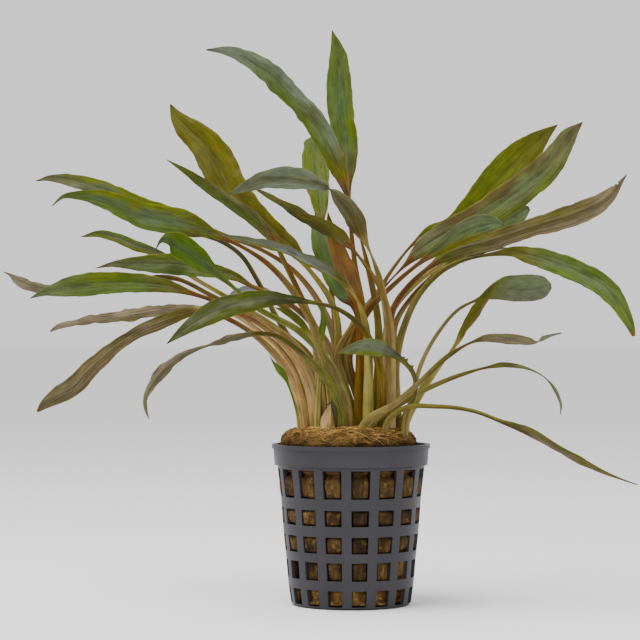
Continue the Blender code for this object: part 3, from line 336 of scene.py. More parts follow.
LEAVES = [
    Leaf("leaf_top", "leaf_green", depths=(2.2, 14, 24),
         stalk=[(3.2, 53, 1.2), (3.6, 80, 1.1), (4.2, 95, 1), (1.2, 114, 0.8), (-0.1, 127, 0.7)],
         blade=[(-0.5, 140, 0.8, 0), (-0.3, 146, 2.2, 0), (-1.2, 153, 3.7, 5), (-2.7, 160, 4.3, 8),
                (-3.7, 168, 4.5, 8), (-4, 176, 4, 5), (-4.3, 183, 2.9, 0), (-6.3, 191.3, 0.1, 0)],
         paint=Paint("stem_olive", "stem_brown", "olive_brown", "leaf_green", "blue_green", "moss",
                     "moss", "pale_under", "brown", stripes=0.06)),
    Leaf("leaf_arch_left", "leaf_grey_green", depths=(-1, -3, -16),
         stalk=[(7.6, 53, 1.2), (9.2, 80, 1.1), (8.9, 95, 1), (6.6, 108, 0.9)],
         blade=[(-2.2, 139, 1.3, 0), (-4.7, 146.2, 3.1, -10), (-7.5, 152.3, 3.5, -15),
                (-12.5, 160.8, 3.6, -20), (-20, 169.3, 3.5, -25), (-27, 176.2, 3.5, -25),
                (-34, 181.4, 2.8, -20), (-41, 184.3, 1.6, -10), (-48.3, 184.8, 0.2, 0)],
         paint=Paint("stem_green", "stem_brown", "yellow_olive", "leaf_green", "grey_green",
                     "silver_green", "silver_green", "pale_under", "stem_dark"),
         wavy=1.5),
    Leaf("leaf_far_rounded", "leaf_green", depths=(13.5, 34, 70),
         stalk=[(-1.5, 53, 1.1), (-2.5, 66, 1.1), (-4, 80, 1), (-7, 108, 0.8)],
         blade=[(-10, 127, 1.2, 0), (-10.3, 133, 2.9, 0), (-11.2, 140, 4.3, 0), (-11.9, 147, 4.8, 0),
                (-11.8, 152, 4.2, 0), (-12.3, 155, 2.6, 0), (-12.5, 155.8, 0.5, 0)],
         paint=Paint("stem_tan", "stem_brown", "yellow_moss", "yellow_green", "leaf_green", "moss",
                     "leaf_green", "moss")),
    Leaf("leaf_blue_green", "leaf_green", depths=(7.5, 12, 22),
         stalk=[(3.8, 53, 1.2), (4.3, 80, 1.1), (3.6, 90, 1.1), (2, 97, 1.1)],
         blade=[(0.8, 99.5, 1.2, 0), (-1.5, 102.5, 2.8, 0), (-4.5, 108, 4, 0), (-7.5, 115, 4.2, 0),
                (-9.8, 121, 3.6, 0), (-11, 126, 2.2, 0), (-11.8, 130.3, 0.2, 0)],
         paint=Paint("stem_tan", "stem_brown", "blue_green", "leaf_green", "blue_green", "blue_green",
                     "grey_green", "pale_under")),
    Leaf("leaf_olive_strip", "leaf_olive", depths=(-8.6, -24, -42),
         stalk=[(13, 53, 1.1), (13.4, 66, 1.1), (13.6, 80, 1), (13.3, 92, 0.9), (11, 102.3, 0.8),
                (5.6, 111.8, 0.7)],
         blade=[(0, 118.8, 1, 40), (-3, 121.9, 2, 50), (-7, 125, 2.5, 55), (-11, 127.2, 2.3, 55),
                (-15, 129.3, 1.8, 55), (-20, 132, 1.4, 55), (-26, 135.4, 1, 55), (-33, 139, 0.1, 55)],
         paint=Paint("stem_tan", "stem_brown", "olive_brown", "dark_olive", "gold_olive", "gold_olive",
                     "moss", "olive")),
    Leaf("leaf_red_brown", "leaf_brown", depths=(-5, -15, -25),
         stalk=[(2.2, 53, 1.3), (2.6, 66, 1.3), (3, 80, 1.3), (3, 93, 1.3)],
         blade=[(2.4, 100, 1.5, 180), (1, 104.5, 2.6, 180), (-0.7, 108.5, 3.4, 180),
                (-2.6, 113, 3.2, 180), (-4.8, 118.5, 2.6, 180), (-6.3, 123.5, 1.7, 180),
                (-7.2, 127.3, 0.9, 180), (-7.7, 130.6, 0.1, 180)],
         paint=Paint("stem_amber", "stem_rust", "brown_olive", "rust", "rust", "light_rust", "olive",
                     "rust")),
    Leaf("leaf_front_twist", "leaf_grey_green", depths=(-3, -20, -52),
         stalk=[(9.8, 53, 1.3), (11, 66, 1.3), (12, 80, 1.2), (12, 95, 1.1), (9.6, 108, 1)],
         blade=[(4.8, 120.8, 1, 180), (3.4, 123.8, 2.2, 180), (1.8, 127.3, 3.1, 180), (-0.4, 131, 3, 180),
                (-3.6, 134.8, 2.3, 180), (-6.3, 137.5, 0.8, 120), (-10, 139.4, 1.9, 0),
                (-15, 141.3, 3.1, 0), (-22, 142, 3.6, 0), (-29, 141.3, 2.8, 0), (-35, 139.1, 1.8, 0),
                (-41, 136.3, 0.1, 0)],
         paint=Paint("stem_pink", "stem_khaki", "olive_brown", "silver_green", "ash_green",
                     "silver_green", "ash_green", "brown_olive")),
    Leaf("leaf_broad_yellow", "leaf_olive", depths=(5, 14, 36),
         stalk=[(-6, 53, 1.2), (-5.6, 66, 1.2), (-4.6, 80, 1.2), (-5.2, 97, 1), (-7.4, 102.4, 1),
                (-10.8, 107.4, 0.9)],
         blade=[(-15.6, 113.4, 1, 0), (-19.2, 118.2, 2.5, 0), (-23, 122, 2.9, 0), (-29, 127.6, 3.3, 0),
                (-35, 133.2, 4.4, 0), (-41, 140, 6, 0), (-45, 147.8, 6.3, 0), (-49.2, 153.8, 5.3, 0),
                (-54.5, 158.4, 4.2, 0), (-58, 162.2, 2.4, 0), (-60.3, 166.6, 0.2, 0)],
         paint=Paint("stem_olive", "stem_olive", "brown_olive", "gold_olive", "gold_olive",
                     "yellow_olive", "yellow_olive", "olive", "dark_olive", stripes=0.06)),
    Leaf("leaf_before_broad", "leaf_green", depths=(3, 0, -14),
         stalk=[(-9.3, 53, 1.2), (-9.6, 66, 1.3), (-11, 80, 1.1), (-13.6, 95, 0.9), (-17.7, 104.6, 0.9),
                (-21.7, 112.8, 0.9)],
         blade=[(-25.6, 120.4, 0.9, 0), (-28, 123.6, 1.7, 10), (-32, 128, 2.2, 15), (-37, 131.6, 2.1, 15),
                (-43, 135.6, 1.9, 15), (-50, 140.6, 1.7, 10), (-56, 144.7, 0.9, 0),
                (-61.6, 148.1, 0.1, 0)],
         paint=Paint("stem_pink", "stem_brown", "olive_brown", "leaf_green", "moss", "grey_olive", "moss",
                     "pale_under")),
    Leaf("leaf_slate_strip", "leaf_grey_green", depths=(-8, -28, -60),
         stalk=[(5.9, 53, 1.3), (5.7, 66, 1.3), (5.8, 82, 1.2), (4.4, 95, 1)],
         blade=[(0.4, 104, 0.7, -50), (-3.5, 107.8, 1.4, -55), (-8, 110.8, 1.6, -55),
                (-14, 114, 1.6, -55), (-20, 116.8, 1.6, -55), (-27, 119.1, 1.3, -55),
                (-35, 121.1, 1, -55), (-44.3, 122.9, 0.1, -50)],
         paint=Paint("stem_lime", "stem_olive", "olive", "olive", "slate", "ash_green", "ash_green",
                     "pale_under")),
    Leaf("leaf_long_teal", "leaf_green", depths=(-2, -9, -28),
         stalk=[(-5, 53, 1.2), (-5.5, 66, 1.2), (-8.2, 80, 1.2), (-13.4, 94.5, 1.1), (-19.6, 104.4, 1),
                (-27, 112.6, 0.9)],
         blade=[(-41.5, 121.5, 0.9, 0), (-46, 123.4, 1.5, -10), (-51, 125.2, 3.2, -15),
                (-57, 127.1, 4.4, -15), (-64, 128.2, 4.5, -15), (-70.5, 129.6, 4.1, -15),
                (-77, 132.6, 3.7, -15), (-84, 135.2, 2.7, -10), (-91, 136.2, 1.5, 0),
                (-96, 135.8, 0.7, 0), (-100, 132.5, 0.1, 0)],
         paint=Paint("stem_tan", "stem_brown", "olive", "leaf_green", "grey_teal", "yellow_moss",
                     "leaf_green", "pale_under", "stem_dark")),
    Leaf("leaf_behind_teal", "leaf_grey_green", depths=(8.6, 22, 40),
         stalk=[(-4.4, 53, 1.1), (-4.2, 66, 1.1), (-4.4, 82, 1), (-7.2, 93.4, 1), (-11.5, 101.8, 0.9),
                (-18.9, 110.8, 0.8), (-30, 118, 0.7)],
         blade=[(-42, 122.6, 0.9, 0), (-50, 125.3, 1.6, 0), (-60, 129.4, 2.9, 0), (-70, 132.7, 3, 0),
                (-78, 136.2, 3, 0), (-84, 138.8, 2.7, 0), (-90, 140.4, 2.5, 0), (-96, 141.6, 1.9, 0),
                (-101, 141.9, 1, 0), (-105.3, 141, 0.1, 0)],
         paint=Paint("stem_tan", "stem_brown", "yellow_olive", "ash_green", "grey_green", "yellow_moss",
                     "grey_olive", "pale_under", "stem_dark")),
    Leaf("leaf_under_teal", "leaf_green", depths=(14, 36, 56),
         stalk=[(-10.2, 53, 1), (-11.6, 66, 1), (-17, 82, 0.9), (-25.4, 96.5, 0.8), (-31.6, 108.4, 0.8),
                (-36.4, 115.8, 0.8)],
         blade=[(-44, 121.2, 0.9, 0), (-50, 123.8, 1.6, 0), (-56, 126.4, 2.4, 0), (-62, 128.6, 2.3, 0),
                (-67.5, 129.6, 1.2, 0), (-71, 129.6, 0.1, 0)],
         paint=Paint("stem_brown", "stem_moss", "olive", "moss", "moss", "olive", "moss", "olive")),
    Leaf("leaf_left_small_arch", "leaf_olive", depths=(10, 32, 58),
         stalk=[(-7.6, 53, 1.1), (-8.6, 66, 1.1), (-14, 82.5, 1), (-25, 91.8, 0.9), (-42, 102.5, 0.8)],
         blade=[(-53, 109, 0.8, 0), (-60, 114.2, 1.2, 0), (-66, 117.4, 1.5, 0), (-72, 119.4, 1.9, 0),
                (-78, 121.9, 1.7, 0), (-84, 123.3, 1.3, 0), (-90.2, 122.3, 0.1, 0)],
         paint=Paint("stem_brown", "stem_olive", "yellow_moss", "yellow_moss", "ash_green", "leaf_green",
                     "moss", "pale_under")),
    Leaf("leaf_dark_green", "leaf_green", depths=(2.4, 12, 26),
         stalk=[(-1, 53, 1.2), (-1.4, 66, 1.2), (-3.6, 77, 1.1), (-9, 88.4, 1), (-17, 97.2, 0.9),
                (-25, 102.6, 0.8)],
         blade=[(-33, 105.8, 0.7, 0), (-39, 109.2, 1.6, 0), (-45, 110.8, 2.3, 0), (-51, 112, 3.2, 0),
                (-58, 113.1, 3.7, 0), (-66, 113.4, 3.2, 0), (-73, 113.4, 2.2, 0), (-80, 113.1, 0.9, 0),
                (-85.3, 111.8, 0.1, 0)],
         paint=Paint("stem_tan", "stem_brown", "olive", "leaf_green", "grey_green", "moss", "grey_olive",
                     "pale_under")),
    Leaf("leaf_bright_green", "leaf_green", depths=(-6, -18, -34),
         stalk=[(-0.6, 53, 1.2), (-1.5, 66, 1.2), (-6, 78, 1.1), (-17, 90.6, 1), (-31, 98.4, 0.9)],
         blade=[(-42, 107.8, 0.9, 0), (-46, 111, 1.8, -10), (-50, 114, 3.4, -15), (-54, 117.2, 3.8, -15),
                (-58.1, 119.6, 3.9, -20), (-61, 121.3, 2.2, -30), (-63.2, 121, 0.8, -20),
                (-65.2, 118, 0.1, 0)],
         paint=Paint("stem_khaki", "leaf_green", "leaf_green", "bright_green", "blue_green",
                     "bright_green", "dark_olive", "dark_olive", "stem_dark", stripes=0.06),
         wavy=0.5),
    Leaf("leaf_left_level", "leaf_green", depths=(0, 4, 12),
         stalk=[(-11.2, 53, 1.3), (-12.2, 65, 1.4), (-14, 73, 1.4), (-17.4, 80.5, 1.3), (-23, 87.3, 1.1),
                (-31, 93.6, 0.9), (-42, 99.4, 0.8)],
         blade=[(-53, 103.4, 0.9, 0), (-60, 105.5, 2, -8), (-67, 106.6, 2.9, -10), (-75, 106.9, 3.4, -10),
                (-83, 106.8, 3.8, -10), (-91, 106, 3.8, -10), (-97, 105, 2.7, -8),
                (-102.5, 103.8, 1.3, 0), (-107.2, 101.8, 0.1, 0)],
         paint=Paint("stem_pink", "stem_brown", "brown_olive", "leaf_green", "leaf_green", "moss",
                     "grey_green", "pink_brown")),
    Leaf("leaf_far_left", "leaf_brown", depths=(6.4, 22, 42),
         stalk=[(-9, 53, 1.1), (-9.4, 66, 1.1), (-12.6, 78, 1.1), (-21, 88.2, 1), (-32, 95, 0.9),
                (-46, 102.4, 0.8)],
         blade=[(-60, 108.6, 0.9, 0), (-70, 107.6, 1.8, 0), (-80, 107, 2.6, 0), (-90, 105.6, 2.8, 0),
                (-99, 104.4, 1.9, 0), (-106, 105.6, 1.8, 0), (-111, 107.6, 1.7, 0), (-114, 109.7, 0.5, 0),
                (-116.2, 110.7, 0.1, 0)],
         paint=Paint("stem_tan", "stem_brown", "brown_olive", "grey_olive", "grey_brown", "grey_olive",
                     "grey_brown", "pale_under"),
         wavy=2.2),
    Leaf("leaf_lilac_back", "leaf_grey_green", depths=(12.6, 38, 74),
         stalk=[(-5.4, 53, 1.1), (-6, 66, 1.1), (-9, 80, 1), (-15, 91, 0.9), (-21, 98, 0.9)],
         blade=[(-25, 101, 1.5, 0), (-29, 103.3, 2.2, 0), (-33, 104.2, 2, 0), (-37, 103.6, 1.9, 0),
                (-40, 102, 1.3, 0), (-42, 100.2, 0.2, 0)],
         paint=Paint("stem_brown", "stem_brown", "lilac", "lilac", "lilac", "slate", "slate", "lilac")),
    Leaf("leaf_pinkish_low", "leaf_brown", depths=(3.4, 4, 8),
         stalk=[(-13.9, 53, 1.2), (-15, 65, 1.2), (-17, 72.4, 1.2), (-20, 79.4, 1.1), (-24.6, 85.4, 1),
                (-31, 91, 0.9), (-39, 96.3, 0.8)],
         blade=[(-49, 98.4, 0.8, 180), (-56, 98.5, 1.2, 190), (-63, 97.9, 1.8, 190), (-71, 96.6, 2, 190),
                (-79, 95.4, 1.8, 190), (-86, 94.8, 1.6, 190), (-93, 93.4, 1, 190), (-98, 92.2, 0.9, 180),
                (-100.4, 90.7, 0.3, 180)],
         paint=Paint("stem_pink", "stem_pink", "olive", "pink_brown", "pink_brown", "olive", "pink_brown",
                     "pink_brown", "orange", stripes=0.32),
         wavy=3.5),
    Leaf("leaf_long_brown", "leaf_brown", depths=(-3.4, -8, -20),
         stalk=[(-15.9, 53, 1.2), (-17, 65, 1.2), (-19, 72, 1.2), (-21.8, 78.2, 1.1), (-26, 83.7, 1),
                (-40, 94.4, 0.8)],
         blade=[(-50, 97.6, 0.9, 180), (-56, 96.4, 1.7, 190), (-63, 93.8, 2.3, 190), (-70, 91, 2.1, 190),
                (-76, 87.4, 2, 190), (-82, 82.7, 2.5, 190), (-88, 77.2, 3, 190), (-92.6, 72.3, 3.2, 190),
                (-98, 69.2, 2.7, 190), (-102, 66.6, 1.7, 180), (-104.7, 64, 0.4, 180)],
         paint=Paint("stem_pink", "stem_brown", "olive", "grey_olive", "pink_brown", "tan", "grey_brown",
                     "brown_olive", "orange", stripes=0.38)),
    Leaf("leaf_front_grey", "leaf_grey_green", depths=(-6.4, -40, -72),
         stalk=[(9, 53, 1.2), (9.8, 66, 1.2), (9.2, 80, 1.1), (4.2, 91.3, 0.9), (-4, 98, 0.7)],
         blade=[(-13, 100.4, 0.7, 0), (-20, 101.4, 1.4, -10), (-26, 101.7, 2.3, -20), (-32, 101, 3, -25),
                (-38, 99.8, 3.4, -25), (-44, 97.9, 3.5, -25), (-50, 94.8, 2.8, -20),
                (-56, 90.9, 1.6, -10), (-61.5, 86.6, 0.1, 0)],
         paint=Paint("stem_amber", "stem_moss", "dark_olive", "dark_moss", "ash_green", "dark_moss",
                     "dark_moss", "pale_under", "stem_dark")),
    Leaf("leaf_curled_left", "leaf_brown", depths=(-9, -34, -60),
         stalk=[(-2.8, 53, 1.1), (-3.6, 64, 1.1), (-6.6, 72.6, 1.1), (-12.4, 79.6, 1), (-19.4, 85.8, 0.8),
                (-25, 89.3, 0.7)],
         blade=[(-31, 90, 0.8, 180), (-38, 88.9, 1.1, 190), (-44, 87.2, 1, 210), (-50, 85.2, 0.5, 240),
                (-55, 83.4, 0.8, 210), (-60, 80.1, 1.5, 180), (-64, 76.3, 1.8, 170), (-67, 72, 1.2, 170),
                (-68.7, 67.6, 0.7, 170), (-68.4, 64.5, 0.5, 180), (-67.4, 61.5, 0.1, 180)],
         paint=Paint("stem_green", "stem_moss", "olive", "pink_brown", "olive_brown", "grey_brown",
                     "grey_olive", "grey_brown", "stem_dark", stripes=0.34),
         wavy=3),
    Leaf("leaf_small_green", "leaf_green", depths=(-6, -10, -16),
         stalk=[(-17.1, 53, 0.5), (-17.6, 61, 0.45), (-20.2, 71, 0.35)],
         blade=[(-21.2, 73.6, 0.4, 0), (-21.8, 75.2, 0.8, 20), (-23.1, 77.2, 1.2, 30),
                (-24.8, 79.2, 0.8, 20), (-26.2, 81, 0.3, 0), (-27.2, 82.8, 0.05, 0)],
         paint=Paint("stem_lime", "fresh_green", "fresh_green", "fresh_green", "bright_green",
                     "fresh_green", "leaf_green", "fresh_green"),
         swell=0),
    Leaf("leaf_front_blue", "leaf_grey_green", depths=(-9.4, -28.5, -64),
         stalk=[(17.4, 53, 1.1), (18.4, 62, 1.1), (21.6, 71, 0.7), (20.8, 76.6, 0.8)],
         blade=[(17.4, 80.8, 0.9, 0), (14, 83.2, 1.3, 0), (11, 84.6, 2.1, 0), (7, 85.5, 2.8, 0),
                (3, 85.3, 2.4, 0), (-1, 84.4, 1.3, 0), (-4.8, 83.4, 0.1, 0)],
         paint=Paint("stem_khaki", "stem_moss", "dark_olive", "yellow_moss", "silver_green", "grey_green",
                     "yellow_moss", "pale_under"),
         wavy=0.6, swell=0.2, nicks=((-4.5, 1, -0.9), (-2.8, 1, 0.4), (-0.7, 1, -1.0), (0.9, 1, -0.5))),
    Leaf("leaf_right_bright", "leaf_olive", depths=(5.4, 26, 48),
         stalk=[(-0.6, 53, 1.1), (-1.6, 66, 1.1), (-2.2, 80, 1), (0.6, 93, 0.9), (8.4, 103, 0.8),
                (14.5, 112.4, 0.6)],
         blade=[(21.6, 120.6, 0.8, 0), (26, 123.6, 2.2, 0), (33, 126.6, 2.3, 0), (38.4, 130.6, 3.8, 0),
                (43.6, 134.9, 5.5, 0), (49.1, 140.9, 6.3, 0), (54.8, 147.2, 6, 0), (60.7, 152.8, 4.3, 0),
                (65.3, 156.9, 1.9, 0), (68.9, 159.6, 0.1, 0)],
         paint=Paint("stem_olive", "stem_brown", "yellow_moss", "yellow_green", "yellow_moss",
                     "gold_olive", "olive", "yellow_moss", "stem_dark", stripes=0.06),
         wavy=0.7),
    Leaf("leaf_right_grey", "leaf_grey_green", depths=(-1, 6, 4),
         stalk=[(1.6, 53, 1.2), (-0.4, 66, 1.2), (-4.4, 82, 1.1), (5, 98, 1)],
         blade=[(19, 113.8, 1, 0), (24, 118.6, 3, 8), (30, 122.6, 3.9, 10), (38, 126.4, 4.4, 10),
                (45, 130, 4.9, 10), (52, 134.6, 5.2, 10), (59, 139.8, 5.1, 10), (65, 145, 4.8, 10),
                (69.3, 150.6, 3.8, 8), (72.6, 155.9, 2.8, 0), (77.2, 160.5, 0.1, 0)],
         paint=Paint("stem_khaki", "stem_brown", "grey_olive", "olive_brown", "grey_green", "moss",
                     "grey_olive", "pale_under", "stem_dark")),
    Leaf("leaf_right_blue", "leaf_green", depths=(7, 20, 40),
         stalk=[(11.8, 53, 1.1), (11.4, 66, 1.1), (11.4, 80, 1), (13, 96, 0.9), (21, 106, 0.8)],
         blade=[(30, 112.8, 0.9, 0), (36, 116.4, 2, 0), (42, 120.6, 3, 0), (48, 124.8, 3.4, 0),
                (53, 128.2, 3.6, 0), (57, 130.6, 2.7, 0), (59.3, 131.8, 0.8, 0)],
         paint=Paint("stem_olive", "stem_olive", "olive", "grey_teal", "grey_teal", "leaf_green",
                     "grey_green", "pale_under"),
         wavy=0.5),
    Leaf("leaf_right_arc", "leaf_grey_green", depths=(-2, -12, -33),
         stalk=[(5, 53, 1.2), (3.2, 66, 1.2), (-0.8, 82, 1.1), (5.4, 97, 1), (15, 107, 0.8)],
         blade=[(24, 114.4, 0.9, 0), (30, 118.6, 2.2, 10), (36, 122.6, 3.4, 15), (42, 125.3, 3.9, 15),
                (47, 126.4, 2.8, 10), (51, 126, 0.4, 0)],
         paint=Paint("stem_brown", "stem_brown", "moss", "ash_green", "grey_teal", "gold_olive",
                     "grey_teal", "pale_under"),
         wavy=0.4),
    Leaf("leaf_right_long", "leaf_olive", depths=(1.8, -6, -22),
         stalk=[(12.6, 53, 1.2), (13.2, 82, 1.1), (14.4, 99, 1), (20, 106.7, 0.9)],
         blade=[(27.3, 113, 1, 180), (32, 116.2, 2.2, 190), (38, 118.6, 2.8, 190), (45, 120.4, 3, 190),
                (52, 122.6, 3.1, 190), (60, 125.4, 3, 190), (68, 127.6, 3.5, 190), (75, 130, 3.6, 190),
                (81, 132.6, 3.3, 190), (86, 136, 2.3, 190), (89.4, 139.8, 0.9, 180),
                (91.8, 143, 0.1, 180)],
         paint=Paint("stem_tan", "stem_brown", "yellow_green", "pink_brown", "olive_brown", "olive",
                     "pink_brown", "olive_brown", "stem_dark", stripes=0.3),
         nicks=((67.4, 1, 0.8), (66.2, 1, 0.25))),
    Leaf("leaf_right_dark", "leaf_olive", depths=(5.4, 22, 52),
         stalk=[(15.6, 53, 1.1), (15, 66, 1.1), (14.6, 80, 1), (14.8, 93, 0.9), (21, 103, 0.8)],
         blade=[(28, 109.7, 0.9, 180), (33, 113, 1.4, 180), (38, 115.8, 1.4, 180), (43, 117.4, 1.2, 180),
                (48, 118.2, 0.6, 180), (52, 118.6, 0.1, 180)],
         paint=Paint("stem_olive", "stem_brown", "dark_olive", "olive", "dark_olive", "slate", "olive",
                     "dark_olive")),
    Leaf("leaf_right_green", "leaf_green", depths=(-1.4, -14, -36),
         stalk=[(15.6, 53, 1.2), (15, 66, 1.2), (14.9, 80, 1.1), (17.4, 91.5, 1), (23, 103.4, 0.9),
                (32, 112, 0.8)],
         blade=[(48, 116.6, 0.8, 0), (54, 117.2, 1.7, 8), (60, 115.9, 2.9, 10), (66, 114.2, 3.4, 10),
                (72, 112, 3.5, 10), (78, 109.3, 3.5, 10), (83.4, 106.2, 3.5, 10), (87.8, 101.8, 3, 8),
                (91, 96.5, 2.1, 5), (93, 92.5, 1.4, 0), (94.1, 89.2, 0.6, 0)],
         paint=Paint("stem_khaki", "stem_moss", "olive", "leaf_green", "grey_green", "leaf_green",
                     "leaf_green", "pale_under", "orange", stripes=0.06)),
    Leaf("leaf_round_end", "leaf_grey_green", depths=(3.4, 22, 62),
         stalk=[(18.2, 53, 1), (18.6, 61, 1), (20.6, 70, 0.8), (23.6, 80.4, 0.7), (29, 90.2, 0.65),
                (36, 98.2, 0.6)],
         blade=[(43, 101.7, 0.8, 0), (47, 103.6, 2.6, 0), (51, 104.8, 4.2, 0), (56, 105.1, 4.7, 0),
                (61, 105.3, 4.6, 0), (64.6, 105.6, 3.4, 0), (66.6, 105.8, 1, 0)],
         paint=Paint("stem_tan", "stem_moss", "yellow_moss", "grey_green", "grey_green", "ash_green",
                     "grey_green", "pale_under", "grey_green", stripes=0.06),
         wavy=0.2, swell=0.3),
    Leaf("leaf_olive_edge", "leaf_olive", depths=(-4.6, -10, -20),
         stalk=[(15.2, 53, 1.4), (18, 61, 1.5), (26.8, 75.8, 1.1)],
         blade=[(35.2, 86.8, 0.8, 40), (37.4, 90.6, 1.2, 50), (40.4, 95.4, 1.6, 50), (43, 99.4, 1.7, 50),
                (45.6, 103, 1.5, 40), (48.2, 105.9, 0.8, 20), (53, 109.2, 0.1, 0)],
         paint=Paint("stem_green", "stem_olive", "olive", "dark_moss", "gold_olive", "olive_brown",
                     "moss", "gold_olive"),
         swell=0.5),
    Leaf("leaf_twisted_tip", "leaf_green", depths=(-16, -40, -60),
         stalk=[(1, 53, 1.1), (5, 61, 1.1), (14, 66.3, 1), (22, 73, 0.9), (33, 83, 0.8)],
         blade=[(41.6, 87.6, 0.6, 160), (45, 88.4, 1.2, 150), (50, 88.2, 1.5, 150), (55, 87.9, 1.6, 150),
                (59, 87.5, 1.3, 160), (61.9, 87.3, 0.5, 100), (64.4, 88.6, 0.7, 20), (67, 89.5, 0.4, 0),
                (70, 90.2, 0.2, 0)],
         paint=Paint("stem_khaki", "stem_moss", "moss", "grey_brown", "grey_brown", "leaf_green",
                     "lilac_grey", "tan"),
         swell=0),
    Leaf("leaf_hooked_tip", "leaf_grey_green", depths=(-11.6, -15, -34),
         stalk=[(4.4, 53, 1), (8, 60.8, 1), (17, 67, 0.9), (37, 76.4, 0.7)],
         blade=[(45.6, 78.8, 0.5, 0), (50, 79.5, 0.85, 30), (55, 79.2, 0.7, 30), (60, 77.9, 0.35, 30),
                (65, 74.9, 0.2, 30), (67.4, 72, 0.5, 30), (69, 69, 0.5, 20), (69.9, 66, 0.4, 0),
                (69.6, 63, 0.1, 0)],
         paint=Paint("stem_khaki", "stem_moss", "olive", "grey_green", "grey_olive", "moss", "grey_brown",
                     "grey_olive"),
         swell=0.2),
    Leaf("leaf_low_right", "leaf_brown", depths=(-13.4, -36, -54),
         stalk=[(11.2, 53, 0.9), (12, 60.6, 0.9), (17, 64.8, 0.8), (29, 65.7, 0.7), (40, 64.4, 0.65)],
         blade=[(51, 60.4, 0.8, 160), (56, 58.6, 1.2, 150), (62, 55.8, 1.35, 150), (69, 51.6, 1.1, 150),
                (76, 47.8, 1.15, 150), (83, 44.3, 0.7, 160), (89, 41.9, 0.35, 180),
                (95.3, 39.7, 0.15, 180)],
         paint=Paint("stem_olive", "stem_moss", "olive", "pink_brown", "grey_brown", "moss",
                     "yellow_moss", "olive_brown", "dark_green"),
         swell=0.3),
    Leaf("leaf_new_green", "leaf_green", depths=(-8, -18, -29),
         stalk=[(-6.2, 53, 0.9), (-6.8, 66, 0.8), (-8.6, 78, 0.7), (-11.2, 85.6, 0.7)],
         blade=[(-13.6, 89.4, 0.7, 0), (-15.8, 92.5, 1.1, 0), (-18.4, 95.2, 1.3, 0),
                (-21.4, 97.2, 1.1, 0), (-25.4, 98.7, 0.1, 0)],
         paint=Paint("stem_tan", "stem_olive", "olive", "yellow_moss", "moss", "olive", "yellow_moss",
                     "moss")),
    Leaf("leaf_centre_green", "leaf_green", depths=(-6.5, -13, -12),
         stalk=[(-11.2, 53, 0.8), (-11, 66, 0.8), (-10.2, 78, 0.7)],
         blade=[(-10.2, 86.4, 0.5, 0), (-9.7, 90.6, 1.1, 0), (-9.2, 94.6, 1, 0), (-9.7, 98, 0.6, 0),
                (-11, 101, 0.1, 0)],
         paint=Paint("stem_lime", "stem_green", "leaf_green", "bright_green", "leaf_green",
                     "bright_green", "leaf_green", "leaf_green")),
    Leaf("leaf_pink_sheath", "leaf_brown", depths=(-13, -13.2, -13.4),
         stalk=[(-7.9, 53, 1.2)],
         blade=[(-8.4, 57.6, 1.6, 180), (-8.3, 61, 1.8, 180), (-7.6, 64, 1, 180), (-6.7, 66.6, 0.1, 180)],
         paint=Paint("stem_pink", "stem_pink", "stem_pink", "stem_pink", "stem_pink", "pink_brown",
                     "stem_pink", "stem_pink")),
    Leaf("leaf_small_dark", "leaf_brown", depths=(-14.6, -16, -18),
         stalk=[(-5, 53, 0.4)],
         blade=[(-4.9, 59, 0.4, 0), (-5.2, 62, 0.7, 0), (-5.6, 65, 0.9, 0), (-6.6, 67, 0.5, 0),
                (-8.2, 66, 0.1, 0)],
         paint=Paint("stem_dark", "stem_dark", "brown", "dark_green", "brown", "dark_green", "dark_olive",
                     "brown")),
]


def smooth_step(value):
    """0 below 0, 1 above 1 and an S-curve between them."""
    value = np.clip(value, 0, 1)
    return value * value * (3 - 2 * value)


def between(value, start, full):
    """0 up to start, 1 from full on and an S-curve between them, whichever of the two is larger."""
    return smooth_step((value - start) / (full - start))


def unit(vectors):
    """Vectors scaled to length 1."""
    return vectors / np.linalg.norm(vectors, axis=-1, keepdims=True)


def around(radius, turn, height):
    """The point at a radius and a turn from the front, towards the right, in degrees."""
    angle = np.radians(turn)
    return np.stack(np.broadcast_arrays(radius * np.sin(angle), -radius * np.cos(angle), height), -1)


def lattice_noise(points, size, seed):
    """Smooth noise from -1 to 1: random values at the corners of cubes of this size, blended by
    an S-curve along each axis between them."""
    values = np.random.default_rng(seed).uniform(-1, 1, (NOISE_CELLS,) * 3)
    place = points / size
    cell = np.floor(place).astype(int)
    part = smooth_step(place - cell)
    total = np.zeros(points.shape[:-1])
    for corner in product((0, 1), repeat=3):
        weight = np.prod(np.where(corner, part, 1 - part), axis=-1)
        x, y, z = np.moveaxis((cell + corner) % NOISE_CELLS, -1, 0)
        total += weight * values[x, y, z]
    return total


def run_along(points):
    """Distance along a line of points from its start."""
    return np.append(0, np.cumsum(np.linalg.norm(np.diff(points, axis=0), axis=1)))


def through(knots, values, places):
    """A smooth curve through the values at the knots, taken at places: cubic pieces whose slope at
    a knot weighs the slopes on its two sides by the length of the other side."""
    gaps = np.diff(knots)[:, None]
    rises = np.diff(values, axis=0) / gaps
    inner = (rises[:-1] * gaps[1:] + rises[1:] * gaps[:-1]) / (gaps[1:] + gaps[:-1])
    slopes = np.vstack([rises[:1], inner, rises[-1:]])
    piece = np.clip(np.searchsorted(knots, places, side="right") - 1, 0, len(knots) - 2)
    gap = gaps[piece]
    part = (places - knots[piece])[:, None] / gap
    late = 3 * part ** 2 - 2 * part ** 3
    return ((1 - late) * values[piece] + late * values[piece + 1]
            + (part ** 3 - 2 * part ** 2 + part) * gap * slopes[piece]
            + (part ** 3 - part ** 2) * gap * slopes[piece + 1])


